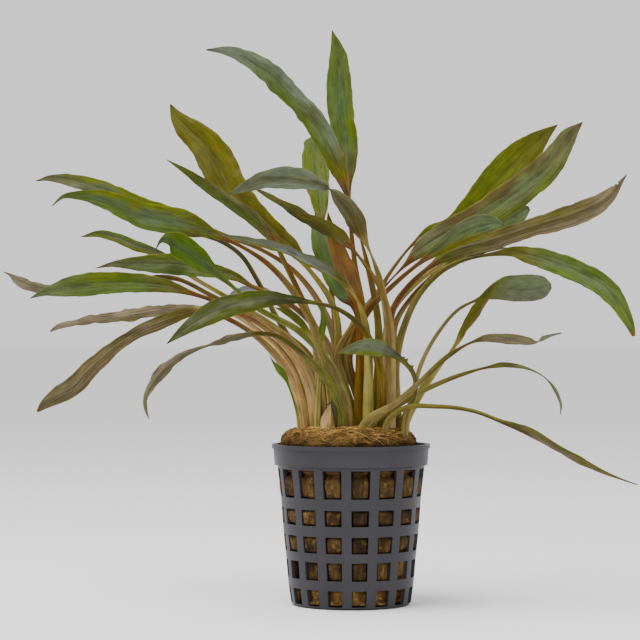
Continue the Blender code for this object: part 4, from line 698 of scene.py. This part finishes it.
def on_grid(surface, row, column):
    """The point of a surface at a row and a column, which may lie between two of the grid's. The
    columns close round it."""
    rows, columns = surface.shape[:2]
    low_row = np.clip(row.astype(int), 0, rows - 2)
    column = column % columns
    low_column = column.astype(int) % columns
    next_column = (low_column + 1) % columns
    up = (row - low_row)[..., None]
    over = (column - np.floor(column))[..., None]
    lower = surface[low_row, low_column] * (1 - over) + surface[low_row, next_column] * over
    upper = surface[low_row + 1, low_column] * (1 - over) + surface[low_row + 1, next_column] * over
    return lower * (1 - up) + upper * up


def grid_faces(rows, columns):
    """Four-cornered faces between each two rows of a grid that is closed round its columns."""
    start = np.arange(rows - 1)[:, None] * columns
    here = np.arange(columns)
    after = np.roll(here, -1)
    corners = [start + here, start + after, start + columns + after, start + columns + here]
    return np.stack(corners, -1).reshape(-1, 4)


def new_piece(name, points, faces, material, vectors=None):
    """A smooth-shaded mesh object from points in millimetres, with vectors stored on its points."""
    mesh = bpy.data.meshes.new(name)
    mesh.from_pydata((np.asarray(points) * MM).tolist(), [], faces)
    mesh.shade_smooth()
    mesh.materials.append(material)
    for label, values in (vectors or {}).items():
        layer = mesh.attributes.new(label, "FLOAT_VECTOR", "POINT")
        layer.data.foreach_set("vector", np.ascontiguousarray(values, np.float32).ravel())
    piece = bpy.data.objects.new(name, mesh)
    bpy.context.collection.objects.link(piece)
    return piece


def linear_colour(code):
    """An sRGB hex code as linear red, green, blue and alpha."""
    parts = [int(code[i:i + 2], 16) / 255 for i in (0, 2, 4)]
    return [p / 12.92 if p <= 0.04045 else ((p + 0.055) / 1.055) ** 2.4 for p in parts] + [1]


def fill(node, inputs):
    """Gives a node's inputs their values or links, in order or by name or number."""
    if isinstance(inputs, tuple):
        inputs = dict(enumerate(inputs))
    for label, value in inputs.items():
        if isinstance(value, bpy.types.NodeSocket):
            node.id_data.links.new(value, node.inputs[label])
        else:
            node.inputs[label].default_value = value


def add_node(tree, kind, inputs, output=0, **settings):
    """An output of a new node, or all of its outputs where that is None."""
    node = tree.nodes.new("ShaderNode" + kind)
    for label, value in settings.items():
        setattr(node, label, value)
    fill(node, inputs)
    return node.outputs[:] if output is None else node.outputs[output]


def new_material(name):
    """A material with its Principled shader alone, that shader, and a function that adds nodes."""
    material = bpy.data.materials.new(name)
    material.use_nodes = True
    tree = material.node_tree
    return material, tree.nodes["Principled BSDF"], partial(add_node, tree)


def stored(add, label):
    """The three numbers of a vector stored on the mesh, and the vector itself."""
    vector = add("Attribute", {}, "Vector", attribute_name=label)
    return (*add("SeparateXYZ", (vector,), None), vector)


def own_place(add):
    """Where a point is on its object, in millimetres."""
    place = add("TexCoord", {}, "Object")
    return add("Mapping", {"Vector": place, "Scale": (1 / MM,) * 3})


def patches(add, place, size, detail=2.0):
    """Noise whose patches have this size along each axis, in the unit of the place."""
    place = add("Mapping", {"Vector": place, "Scale": [1 / length for length in size]})
    return add("TexNoise", {"Vector": place, "Scale": 1.0, "Detail": detail}, "Fac")


def summed(add, total, *terms):
    """A total with each value added to it times its share."""
    for value, share in terms:
        total = add("Math", (value, share, total), operation="MULTIPLY_ADD")
    return total


def layered(add, colour, layers):
    """A colour with others laid over it in turn. A layer is its colour and its strength, or its
    colour, the value that it follows, two ends of that value and the layer's strength at each."""
    for over, strength, *span in layers:
        if span:
            strength = add("MapRange", (strength, *span), interpolation_type="SMOOTHSTEP")
        colour = add("Mix", {0: strength, 6: colour, 7: over}, 2, data_type="RGBA")
    return colour


def leaf_material(leaf):
    """A water plant's leaf: satin, thin-skinned, streaked along its veins and mottled. The blade's
    colour changes across it and from neck to tip, under a paler midrib and a yellow-green rim, and
    runs into the stalk's at the neck. Its light is 1 and a share of each pattern, finer and
    stronger on the stalk, with painted shade along the middle of the stalk, where its channel runs,
    and painted light at its sides, and painted shade beside the blade's midrib fold."""
    material, shader, add = new_material("cryptocoryne leaf " + leaf.name.removeprefix("leaf_"))
    tone = {part: linear_colour(PALETTE[getattr(leaf.paint, part)]) for part in leaf.paint._fields[:-1]}
    along, across, upper, _ = stored(add, "blade_place")
    stem, flat, _, _ = stored(add, "stalk_place")
    _, width, _, place = stored(add, "leaf_mm")
    noise = {name: patches(add, place, (length, wide, 1 / apart), detail)
             for name, (length, wide, apart, detail) in LEAF_PATTERNS.items()}
    swing = {name: add("MapRange", (noise[name], *NOISE_RANGE, -1, 1))
             for name in (*LEAF_LIGHT, "drift", "fibre")}
    # Where a colour starts and ends is bent by a pattern
    side = summed(add, across, (swing["patch"], 0.35))
    length = summed(add, along, (swing["drift"], 0.12))
    ripe = summed(add, flat, (swing["patch"], 0.2))
    reach = add("Math", (across,), operation="ABSOLUTE")
    from_rib = add("Math", (width,), operation="ABSOLUTE")
    rim = summed(add, reach, (noise["grain"], 0.06))
    rib_strength = add("MapRange", (noise["drift"], 0.35, 0.65, 0, 0.35))
    rim_strength = add("MapRange", (noise["patch"], 0.35, 0.6, 0.1, 0.6))
    stalk = layered(add, tone["foot"], [
        (tone["stalk"], stem, 0.1, 0.85, 0, 1),
        (linear_colour(STALK_STREAK_COLOUR), noise["strip"], 0.42, 0.66, 0, 0.5),
    ])
    colour = layered(add, tone["minus"], [
        (tone["middle"], side, -0.76, 0, 0, 1),
        (tone["plus"], side, 0, 0.76, 0, 1),
        (tone["neck"], length, 0, 0.3, 1, 0),
        (tone["tip"], length, 0.62, 0.95, 0, 1),
        (linear_colour(RIB_COLOUR), from_rib, 0.1, 0.45, rib_strength, 0),
        (linear_colour(RIM_COLOUR), rim, 0.93, 1.02, 0, rim_strength),
        (tone["point"], along, 0.965, 1, 0, 0.9),
        (tone["under"], upper, 0.45, 0.55, 0.5, 0),
        (stalk, ripe, 0.25, 0.95, 1, 0),
        (linear_colour(SPOT_COLOUR), noise["spot"], 0.68, 0.78, 0, 0.4),
    ])
    # Arched veins lie side by side across the blade, a little bent
    veins = add("Math", (summed(add, across, (swing["mottle"], 0.03)), VEINS), operation="MULTIPLY")
    from_vein = add("Math", (veins, 0.5), operation="PINGPONG")
    vein = add("MapRange", (from_vein, 0.02, 0.2, 1, 0), interpolation_type="SMOOTHSTEP")
    # Painted shade along the fold beside the midrib
    crease = add("MapRange", (from_rib, 0.3, 1.3, CREASE_LIGHT, 0), interpolation_type="SMOOTHSTEP")
    on_stalk = add("MapRange", (flat, 0, 1, 1, 0))
    fibre_light = add("MapRange", (flat, 0, 1, FIBRE_LIGHT_ON_STALK, FIBRE_LIGHT_ON_BLADE))
    light = summed(add, 1.0, *((swing[name], share) for name, share in LEAF_LIGHT.items()),
                   (swing["fibre"], fibre_light),
                   # Painted shade along the stalk's middle and painted light at its sides
                   (summed(add, STALK_MIDDLE_LIGHT, (reach, STALK_EDGE_LIGHT)), on_stalk),
                   (crease, flat), (vein, -leaf.paint.stripes))
    saturation = summed(add, add("MapRange", (flat, 0, 1, STALK_SATURATION, LEAF_SATURATION)),
                        (swing["drift"], 0.08))
    value = add("Math", (light, LEAF_VALUE), operation="MULTIPLY")
    height = summed(add, 0.0, (vein, VEIN_RELIEF),
                    *((noise[name], share) for name, share in LEAF_RELIEF.items()))
    fill(shader, {
        "Base Color": add("HueSaturation", {"Color": colour, "Value": value, "Saturation": saturation}),
        "Roughness": add("MapRange", (noise["patch"], *NOISE_RANGE, *LEAF_ROUGHNESS)),
        "Specular IOR Level": LEAF_SPECULAR,
        "Normal": add("Bump", {"Height": height, "Strength": 0.5, "Distance": LEAF_RELIEF_DEPTH * MM}),
    })
    return material


def pot_material():
    """Moulded black-grey polypropylene with a fine moulding grain, a dusty bloom and pale scuffs."""
    material, shader, add = new_material("satin polypropylene")
    place = own_place(add)
    bloom = patches(add, place, POT_BLOOM, 4)
    grain = patches(add, place, POT_GRAIN)
    scuff = add("MapRange", (patches(add, place, POT_SCUFF, 3), 0.6, 0.8, 0, 0.12))
    light = summed(add, add("MapRange", (bloom, *NOISE_RANGE, 0.9, 1.1)), (scuff, 1.0))
    height = summed(add, grain, (bloom, 2.0))
    fill(shader, {
        "Base Color": add("HueSaturation", {"Color": linear_colour(POT_COLOUR), "Value": light}),
        "Roughness": add("MapRange", (bloom, *NOISE_RANGE, *POT_ROUGHNESS)),
        "Specular IOR Level": POT_SPECULAR,
        "Normal": add("Bump", {"Height": height, "Strength": 0.3, "Distance": POT_RELIEF_DEPTH * MM}),
    })
    return material


def wool_material():
    """Mineral wool: matt tan fibres, with painted shade down in the pot, in creases, at the lip and in
    the hollow on the left, painted light in the hollow on the right and a painted highlight on the
    strands at the top of the mound, and darker where it is wet behind the front windows. Fibres lie
    level on the mound, and stand upright, with more specks, down in the pot."""
    material, shader, add = new_material("mineral wool")
    place = own_place(add)
    shade, lift, strand, _ = stored(add, "wool_place")
    swirl = add("TexNoise", {"Vector": place, "Scale": 1 / WOOL_SWIRL, "Detail": 1.0}, "Color")
    turned = add("VectorMath", (swirl, (WOOL_SWIRL_REACH,) * 3, place), operation="MULTIPLY_ADD")
    fibres = patches(add, turned, WOOL_LEVEL_FIBRE, 3)
    specks = patches(add, place, WOOL_SPECK)
    combed = patches(add, place, WOOL_UPRIGHT_FIBRE)
    clumps = patches(add, place, WOOL_CLUMP, 3)
    flecks = add("MapRange", (patches(add, place, WOOL_FLECK, 3), 0.54, 0.7, 0, 0.55))
    gold = add("Math", (add("MapRange", (strand, 0, 0.45, 0, 0.9)), flecks), operation="MAXIMUM")
    # The dark colour laid on by the shade is painted shade, and the wool's own darker colour in blotches
    # and behind the wet front windows
    colour = layered(add, linear_colour(WOOL_BROWN), [
        (linear_colour(WOOL_TAN), clumps, 0.35, 0.65, 0, 1),
        (linear_colour(WOOL_GOLD), gold),
        (linear_colour(WOOL_DARK), shade),
    ])
    # Each pattern's strength at a height in the pot and at one on the mound
    strengths = ((fibres, 47, 52, 0.07, 0.24), (specks, 47, 52, 0.17, 0.08), (combed, 46, 50, 0.35, 0))
    light = summed(add, 1.0, (strand, 1.0),
                   *((add("MapRange", (pattern, *NOISE_RANGE, -1, 1)), add("MapRange", (lift, *span)))
                     for pattern, *span in strengths))
    height = summed(add, fibres, (specks, 0.4))
    fill(shader, {
        "Base Color": add("HueSaturation", {"Color": colour, "Value": light}),
        "Roughness": WOOL_ROUGHNESS,
        "Specular IOR Level": WOOL_SPECULAR,
        "Normal": add("Bump", {"Height": height, "Strength": 0.5, "Distance": WOOL_RELIEF_DEPTH * MM}),
    })
    return material


def as_seen(across, up, depth):
    """The point that lies depth behind the axis plane and is seen at (across, up) on it."""
    scale = (EYE_DISTANCE + depth) / EYE_DISTANCE
    return np.stack([across * scale, depth, EYE_HEIGHT + (up - EYE_HEIGHT) * scale], -1)


def leaf_table(leaf):
    """A leaf's points as rows of x, y, z, half width and turn, and the row of its neck. The depth
    leaves the foot slowly, at the power STALK_FLARE of the way to the neck, and runs on from there
    in a parabola to the tip."""
    turn = leaf.blade[0][3]
    table = np.array([(*point, turn) for point in leaf.stalk] + leaf.blade, float)
    neck = len(leaf.stalk)
    run = run_along(table[:, :2])
    along = run / run[-1]
    foot_depth, neck_depth, tip_depth = leaf.depths
    before = np.clip(along / along[neck], 0, 1)
    beyond = np.clip((along - along[neck]) / (1 - along[neck]), 0, 1)
    slope = STALK_FLARE * (neck_depth - foot_depth) / along[neck] * (1 - along[neck])
    depth = (foot_depth + (neck_depth - foot_depth) * before ** STALK_FLARE + slope * beyond
             + (tip_depth - neck_depth - slope) * beyond ** 2)
    half = table[:, 2].copy()
    shown = np.abs(np.cos(np.radians(table[:, 3])))
    half[neck + 1:] /= np.maximum(shown[neck + 1:], LEAST_COSINE)
    points = as_seen(table[:, 0], table[:, 1], depth)
    return np.column_stack([points, half, table[:, 3]]), neck


def leaf_frames(spine, turns):
    """Directions across each point of a spine and out of its face, turned about the spine from
    facing the eye."""
    along = unit(np.gradient(spine, axis=0))
    to_eye = unit(np.array([0, -EYE_DISTANCE, EYE_HEIGHT]) - spine)
    side = unit(np.cross(along, to_eye))
    face = np.cross(side, along)
    turn = np.radians(turns)[:, None]
    return np.cos(turn) * side + np.sin(turn) * face, np.cos(turn) * face - np.sin(turn) * side


def waves(run, parts, generator):
    """A sum of sine waves along a run for each of two margins, with phases by chance."""
    total = np.zeros((len(run), 2))
    for length, height in parts:
        phase = generator.uniform(0, 2 * math.pi, 2)
        stretch = generator.uniform(*WAVE_STRETCHES, 2)
        total += height * np.sin(2 * math.pi * run[:, None] / (length * stretch) + phase)
    return total


def leaf_rows(leaf, knots, neck):
    """How far from its foot a leaf has its rows of points: coarsely on the stalk, finely on the blade
    and more finely at a nick."""
    steps = round(knots[neck] / STALK_STEP)
    rows = [np.linspace(0, knots[neck], steps, endpoint=False),
            np.arange(knots[neck], knots[-1], BLADE_STEP), knots[-1:]]
    for nick, _, _ in leaf.nicks:
        rows.append(knots[neck] + nick + np.linspace(-2, 2, NICK_STEPS) * NICK_SPREAD)
    return np.sort(np.concatenate(rows))


def stalk_section(half):
    """The ring's places across and out of a stalk: a circle with a shallow channel along its top."""
    channel = STALK_CHANNEL * np.exp(-(np.cos(RING) / STALK_CHANNEL_WIDTH) ** 2) * IS_TOP
    return half * np.cos(RING), half * (np.sin(RING) - channel)


def blade_section(leaf, generator, run, half, flat):
    """The ring's places across and out of a blade. Across is the reach times the half width, with
    the margins crinkled in and out. Out is a soft V about the midrib whose margins curl back and
    ruffle, with half the skin's thickness on each side, a groove over the midrib and a rib under
    it. The waves die away towards the neck, the tip and where the blade is narrow."""
    ease = np.minimum(half / FULL_WAVE_HALF, 1) * flat * smooth_step((run[-1] - run) / TIP_CALM)[:, None]
    ease *= leaf.wavy
    crinkle = waves(run, CRINKLES, generator)[:, IS_PLUS] * OUTER ** 3 * ease
    ruffle = waves(run, RUFFLES, generator)[:, IS_PLUS] * OUTER ** 2 * ease
    fold = math.tan(math.radians(generator.uniform(*BLADE_FOLDS)))
    curl = generator.uniform(*MARGIN_CURLS)
    lift = half * (fold * (np.hypot(REACH, FOLD_SOFTNESS) - FOLD_SOFTNESS) - curl * OUTER ** 4)
    skin = np.minimum(BLADE_THICKNESS / 2, half / 2) * np.sqrt(1 - OUTER ** 8)
    ridge = np.exp(-(half * REACH / RIB_HALF_WIDTH) ** 2) * ease
    across = half * REACH + np.sign(REACH) * crinkle
    out = lift + ruffle + IS_TOP * (skin - RIB_GROOVE * ridge) - IS_LOW * (skin + RIB_RISE * ridge)
    return across, out


def leaf_piece(leaf, number):
    """A leaf's skin. Each point is the spine's plus its place across and out, along the leaf's side
    and face there, and the section goes from the stalk's to the blade's at the neck. Where each
    point is on the leaf is stored for its material."""
    generator = np.random.default_rng(LEAF_SEED + number)
    table, neck = leaf_table(leaf)
    knots = run_along(table[:, :3])
    run = leaf_rows(leaf, knots, neck)
    curve = through(knots, table, run)
    side, face = leaf_frames(curve[:, :3], curve[:, 4])
    beyond = run - knots[neck]
    flat = smooth_step((beyond + NECK_LEAD) / NECK_LENGTH)[:, None]
    stem = np.clip(run / knots[neck], 0, 1)[:, None]
    swell = leaf.swell * STALK_SWELL * (1 - stem) ** STALK_SWELL_POWER
    half = np.maximum(curve[:, 3], LEAST_HALF)[:, None] * (1 + swell)
    blade_across, blade_out = blade_section(leaf, generator, run, half, flat)
    stalk_across, stalk_out = stalk_section(half)
    across = stalk_across * (1 - flat) + blade_across * flat
    for nick, nick_side, share in leaf.nicks:
        cut = share * np.exp(-((beyond - nick) / NICK_SPREAD) ** 2)[:, None]
        across *= 1 - cut * OUTER * (REACH * nick_side > 0)
    out = stalk_out * (1 - flat) + blade_out * flat
    points = curve[:, None, :3] + across[..., None] * side[:, None] + out[..., None] * face[:, None]
    rows, columns = across.shape
    ring = np.arange(columns)
    faces = grid_faces(rows, columns).tolist()
    faces += [ring[::-1].tolist(), (ring + (rows - 1) * columns).tolist()]
    places = {
        "blade_place": (np.clip(beyond / beyond[-1], 0, 1)[:, None], REACH, (1 + IS_TOP - IS_LOW) / 2),
        "stalk_place": (stem, flat, 0),
        "leaf_mm": (run[:, None], across, number),
    }
    vectors = {label: np.stack([np.broadcast_to(part, across.shape) for part in parts], -1)
               for label, parts in places.items()}
    piece = new_piece(leaf.name + "_blade", points.reshape(-1, 3), faces, leaf_material(leaf), vectors)
    return piece


def body_radius(height):
    """Outer radius of the pot's tapered body."""
    return np.interp(height, BODY_HEIGHTS, BODY_RADII)


def window_half(height):
    """Half the width of a window at a height, in degrees of turn."""
    return np.interp(height, (0, BODY_TOP_HEIGHT), (WINDOW_HALF_FOOT, WINDOW_HALF_TOP))


def pot_levels():
    """The wall from the lip's top to the floor's centre disc, as (outer radius, outer height,
    inner radius, inner height) rows, and the rows that start a ring of openings."""
    collar_inner = COLLAR_TOP_RADIUS - WALL
    lip_foot = POT_HEIGHT - LIP_HEIGHT
    levels = [
        (LIP_RADIUS, POT_HEIGHT, collar_inner + LIP_FLARE, POT_HEIGHT),
        (LIP_RADIUS, lip_foot, collar_inner, lip_foot),
        (COLLAR_TOP_RADIUS, lip_foot, collar_inner, lip_foot - LIP_FLARE),
        (COLLAR_FOOT_RADIUS, COLLAR_FOOT_HEIGHT, COLLAR_FOOT_RADIUS - WALL, COLLAR_FOOT_HEIGHT),
        (body_radius(BODY_TOP_HEIGHT), BODY_TOP_HEIGHT,
         body_radius(BODY_TOP_HEIGHT) - WALL, BODY_TOP_HEIGHT),
    ]
    openings = []
    for top, foot in WINDOW_ROWS:
        openings.append(len(levels))
        for height in (top, foot):
            levels.append((body_radius(height), height, body_radius(height) - WALL, height))
    edge = body_radius(FLOOR)
    levels.append((edge - EDGE_ROUNDING, 0, edge - WALL - EDGE_ROUNDING, FLOOR))
    openings.append(len(levels))
    for radius in (SLOT_OUTER_RADIUS, SLOT_INNER_RADIUS):
        levels.append((radius, 0, radius, FLOOR))
    return np.array(levels), openings


def pot_turns(levels):
    """The turn of each point of the pot's grid, in degrees, and which columns start a cell of a
    window. A window's width is cut into equal steps, and so is that of the rib after it."""
    half = window_half(levels[:, 1])[:, None]
    pitch = 360 / WINDOW_COLUMNS
    window = np.linspace(-1, 1, WINDOW_STEPS + 1) * half
    rib = half + (pitch - 2 * half) * (np.arange(1, RIB_STEPS) / RIB_STEPS)
    centres = WINDOW_TURN + np.arange(WINDOW_COLUMNS) * pitch
    turns = (centres[:, None] + np.hstack([window, rib])[:, None]).reshape(len(levels), -1)
    return turns, np.arange(turns.shape[1]) % (WINDOW_STEPS + RIB_STEPS) < WINDOW_STEPS


def pot_piece():
    """The basket: a grid of cells round the wall and over the floor, skinned on both sides and
    round the edge of each cell that is missing."""
    levels, openings = pot_levels()
    turns, is_window = pot_turns(levels)
    rows, count = turns.shape
    outer = around(levels[:, :1], turns, levels[:, 1:2])
    inner = around(levels[:, 2:3], turns, levels[:, 3:4])
    inside = rows * count
    solid = np.ones((rows - 1, count), bool)
    solid[openings] = ~is_window
    place = np.arange(inside).reshape(rows, count)
    after = np.roll(place, -1, axis=1)
    corners = [place[:-1], place[1:], after[1:], after[:-1]]
    cells = np.stack(corners, -1)[solid]
    # Whether the cell on each side is there too: to the left, below, to the right and above
    beside = [np.roll(solid, 1, axis=1), np.vstack([solid[1:], np.ones((1, count), bool)]),
              np.roll(solid, -1, axis=1), np.vstack([np.zeros((1, count), bool), solid[:-1]])]
    edges = []
    for number, filled in enumerate(beside):
        bare = solid & ~filled
        edges.append((corners[number][bare], corners[(number + 1) % 4][bare]))
    # The floor's centre disc has an edge along each slot
    edges.append((after[-1][is_window], place[-1][is_window]))
    faces = cells.tolist() + (cells[:, ::-1] + inside).tolist()
    for start, end in edges:
        faces += np.stack([end, start, start + inside, end + inside], -1).tolist()
    faces += [place[-1][::-1].tolist(), (place[-1] + inside).tolist()]
    points = np.concatenate([outer.reshape(-1, 3), inner.reshape(-1, 3)])
    piece = new_piece("net_pot_moulded", points, faces, pot_material())
    piece.data.set_sharp_from_angle(angle=math.radians(SHARP_ANGLE))
    bevel = piece.modifiers.new("moulded_edges", "BEVEL")
    bevel.width = EDGE_BEVEL * MM
    bevel.segments = BEVEL_SEGMENTS
    bevel.limit_method = "ANGLE"
    bevel.angle_limit = math.radians(SHARP_ANGLE)
    bevel.harden_normals = True
    return piece


def wool_in_windows(turns, height):
    """How far each point of the wool is inside the nearest window, from 0 at its edge to 1."""
    pitch = 360 / WINDOW_COLUMNS
    off = np.abs((turns - WINDOW_TURN + pitch / 2) % pitch - pitch / 2)
    upright = np.zeros_like(height)
    for top, foot in WINDOW_ROWS:
        from_edge = np.minimum(height - foot, top - height)
        upright = np.maximum(upright, smooth_step(from_edge / WOOL_BULGE_EDGE_HEIGHT))
    return smooth_step((window_half(height) - off) / WOOL_BULGE_EDGE_TURN) * upright


def wool_surface():
    """The wool as rows of points from the middle of its underside to the top of its mound, its shade
    and its tone. The profile turned about the axis is pushed in by a groove, two hollows and lumps
    of noise, and out into the windows and, on the mound, by the lumps. The shade is painted shade in
    creases, down in the pot, in the hollow on the left and where the mound meets the lip, less in the
    hollow on the right, and the wool's own darker colour in blotches and behind the wet windows in
    front. The tone is lighter in the hollow on the right, which is painted light."""
    walls = np.array(BODY_RADII[1:] + (COLLAR_FOOT_RADIUS,)) - WALL - WOOL_CLEARANCE
    side = np.column_stack([walls, BODY_HEIGHTS[1:] + (COLLAR_FOOT_HEIGHT,)])
    profile = np.vstack([WOOL_FOOT, side, WOOL_MOUND])
    run = run_along(profile)
    rows = np.linspace(0, run[-1], WOOL_ROWS)
    radius = np.interp(rows, run, profile[:, 0])[:, None]
    height = np.interp(rows, run, profile[:, 1])[:, None]
    turns = np.arange(WOOL_COLUMNS) * 360 / WOOL_COLUMNS
    in_window = wool_in_windows(turns, height)
    is_side = between(radius, *WOOL_SIDE_RADII) * between(height, *WOOL_SIDE_HEIGHTS)
    is_mound = between(height, *WOOL_MOUND_HEIGHTS)
    groove = WOOL_GROOVE_DEPTH * np.exp(-((height - WOOL_GROOVE_HEIGHT) / WOOL_GROOVE_SPREAD) ** 2)
    right_hollow, left_hollow = (depth * smooth_step(1 - np.abs((turns - turn + 180) % 360 - 180) / spread)
                 * smooth_step(2 * (1 - height / top)) for turn, spread, top, depth in WOOL_HOLLOWS)
    push = is_side * (WOOL_BULGE * in_window - groove - right_hollow - left_hollow)
    points = around(radius, turns, height)
    lumps = sum(depth * lattice_noise(points, size, seed) for size, depth, seed in WOOL_LUMPS)
    inward = (np.minimum(lumps, 0)
              + np.maximum(lumps, 0) * np.maximum(is_mound, WOOL_BULGE_LUMPS * in_window))
    lean = np.clip(radius / WOOL_LEAN_RADIUS, 0, 1)
    outward = around(lean, turns, is_mound * (1 - WOOL_LEAN * lean))
    points = points + outward * (push + inward)[..., None]
    points[..., 0] += WOOL_MOUND_SHIFT * between(height, *WOOL_SHIFT_HEIGHTS)
    blotch = 0.5 + 0.5 * lattice_noise(points, BLOTCH_SIZE, BLOTCH_SEED)
    at_lip = math.prod(between(height, *pair) for pair in LIP_SHADE_HEIGHTS)
    wet = (WET_SHADE - height / WET_FADE) * np.exp(-((turns - WET_TURN) / WET_SPREAD) ** 2)
    # Painted shade in creases, down in the pot, at the lip and in the hollow on the left; blotches and
    # the wet front windows darken the wool's own colour; the hollow on the right has painted light in its
    # tone
    shade = (-CREASE_SHADE * inward + LIP_SHADE * at_lip
             + is_side * (SIDE_SHADE + BLOTCH_SHADE * blotch + wet + HOLLOW_SHADE * (left_hollow - right_hollow)))
    return points, np.clip(shade, 0, DARKEST_SHADE), HOLLOW_LIGHT_TONE * is_side * right_hollow + WOOL_TONE


def strand_paths(surface, generator):
    """Where each strand starts, its points and its direction out of the wool at each of them. A
    strand runs round the mound from a place by chance, and its heading turns steadily and sways with
    its neighbours'. It hops off the wool in a half sine wave."""
    rows, columns = surface.shape[:2]
    first_row = rows * STRAND_START
    start_row = first_row + (rows - 2 - first_row) * generator.uniform(0, 1, STRANDS)
    start_column = generator.uniform(0, columns, STRANDS)
    length = generator.uniform(*STRAND_LENGTHS, STRANDS)
    bend = generator.normal(0, STRAND_BEND, STRANDS)
    way = generator.choice((-1, 1), STRANDS)
    steps = np.linspace(0, 1, STRAND_POINTS)
    spot = surface[start_row.astype(int), start_column.astype(int) % columns]
    drift = STRAND_DRIFT * lattice_noise(spot, STRAND_DRIFT_SIZE, STRAND_SEED)
    heading = (drift + generator.normal(0, STRAND_SCATTER, STRANDS))[:, None] + bend[:, None] * steps
    girth = 2 * math.pi * np.maximum(np.hypot(spot[:, 0], spot[:, 1]), STRAND_LEAST_RADIUS)
    column = start_column[:, None] + (way * length / girth * columns)[:, None] * steps
    row = start_row[:, None] + (way * length)[:, None] * np.sin(heading) * steps * STRAND_CLIMB
    path = on_grid(surface, np.clip(row, first_row, rows - 2), column)
    rise = between(path[..., 2:], *STRAND_RISE_HEIGHTS)
    outward = unit(path * (1, 1, 0) + (0, 0, 0.01))
    outward = unit(outward * (1 - STRAND_RISE * rise) + np.array([0, 0, 1]) * rise)
    hop = STRAND_LIFT * np.sin(math.pi * steps) * generator.uniform(*STRAND_LIFT_SHARES, (STRANDS, 1))
    return spot, path + outward * (hop + STRAND_CLEARANCE)[..., None], outward


def wool_strands(surface, generator):
    """The loose strands as three-sided tubes that thin towards their ends: points, faces and tones."""
    spot, path, outward = strand_paths(surface, generator)
    ahead = unit(np.gradient(path, axis=1) + 1e-9)
    beside = unit(np.cross(ahead, outward))
    above = np.cross(beside, ahead)
    ends = np.abs(np.linspace(-1, 1, STRAND_POINTS))
    radius = generator.uniform(*STRAND_RADII, (STRANDS, 1)) * (1 - STRAND_TAPER * ends ** 3)
    points = np.stack([path + radius[..., None] * (math.cos(angle) * beside + math.sin(angle) * above)
                       for angle in np.radians(STRAND_CORNERS)], 2)
    sides = len(STRAND_CORNERS)
    tube = grid_faces(STRAND_POINTS, sides)[:, [0, 3, 2, 1]]
    faces = (tube + np.arange(STRANDS)[:, None, None] * STRAND_POINTS * sides).reshape(-1, 4)
    tone = STRAND_TONE * lattice_noise(spot, STRAND_TONE_SIZE, STRAND_SEED + 1)
    tone += generator.uniform(*STRAND_TONE_CHANCE, STRANDS)
    # A painted highlight on the strands at the top of the mound
    tone += STRAND_TOP_HIGHLIGHT * between(spot[:, 2], *STRAND_HIGHLIGHT_HEIGHTS) + WOOL_TONE
    return points.reshape(-1, 3), faces, np.repeat(tone, STRAND_POINTS * sides)


def wool_piece():
    """The wool and its loose strands as one mesh."""
    surface, shade, tone = wool_surface()
    points = surface.reshape(-1, 3)
    strands, strand_faces, strand_tone = wool_strands(surface, np.random.default_rng(STRAND_SEED))
    faces = grid_faces(*surface.shape[:2]).tolist() + (strand_faces + len(points)).tolist()
    strand_shade = STRAND_SHADE * between(strands[:, 2], *STRAND_SHADE_HEIGHTS)
    everything = np.vstack([points, strands])
    shades = np.append(shade, strand_shade)
    tones = np.append(np.broadcast_to(tone, shade.shape), strand_tone)
    vectors = {"wool_place": np.column_stack([shades, everything[:, 2], tones])}
    piece = new_piece("wool_plug_fibrous", everything, faces, wool_material(), vectors)
    return piece


def add_floor():
    """A pale matt floor that reaches out of every view."""
    material, shader, add = new_material("matt studio floor")
    light = add("MapRange", (patches(add, own_place(add), FLOOR_CLOUD), 0, 1, 0.99, 1.01))
    fill(shader, {
        "Base Color": add("HueSaturation", {"Color": linear_colour(FLOOR_COLOUR), "Value": light}),
        "Roughness": FLOOR_ROUGHNESS,
    })
    corners = [(x * FLOOR_REACH, y * FLOOR_REACH, 0) for x, y in ((-1, -1), (1, -1), (1, 1), (-1, 1))]
    new_piece("studio_floor", corners, [[0, 1, 2, 3]], material)


def add_light(name, place, size, power):
    """A soft square area light, turned to face the plant."""
    lamp = bpy.data.lights.new(name, "AREA")
    lamp.size = size
    lamp.energy = power
    thing = bpy.data.objects.new(name, lamp)
    thing.location = place
    x, y, z = np.subtract(LIGHT_AIM, place)
    thing.rotation_euler = (math.atan2(math.hypot(x, y), -z), 0, math.atan2(-x, y))
    bpy.context.collection.objects.link(thing)


def add_world():
    """An even white studio."""
    world = bpy.data.worlds.new("white studio")
    world.use_nodes = True
    fill(world.node_tree.nodes["Background"], {"Color": (1, 1, 1, 1), "Strength": WORLD_STRENGTH})
    bpy.context.scene.world = world


def add_camera():
    """The photo's viewpoint, turned so that the pot's axis and the horizon fall where they do."""
    data = bpy.data.cameras.new("photo_view")
    data.sensor_width = SENSOR
    data.lens = FOCAL_PIXELS / FRAME_PIXELS * SENSOR
    camera = bpy.data.objects.new("photo_view", data)
    camera.location = (0, -EYE_DISTANCE * MM, EYE_HEIGHT * MM)
    left = math.atan((AXIS_PIXEL - FRAME_PIXELS / 2) / FOCAL_PIXELS)
    up = math.atan((HORIZON_PIXEL - FRAME_PIXELS / 2) / FOCAL_PIXELS)
    camera.rotation_euler = (math.pi / 2 + up, 0, left)
    bpy.context.collection.objects.link(camera)
    bpy.context.scene.camera = camera


add_camera()
add_world()
add_floor()
for light in LIGHTS:
    add_light(*light)
pot = pot_piece()
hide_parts("net_pot")
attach(pot, "root")
wool = wool_piece()
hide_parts("wool_plug")
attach(wool, "root")
for number, leaf in enumerate(LEAVES):
    piece = leaf_piece(leaf, number)
    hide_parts(leaf.name)
    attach(piece, "root")
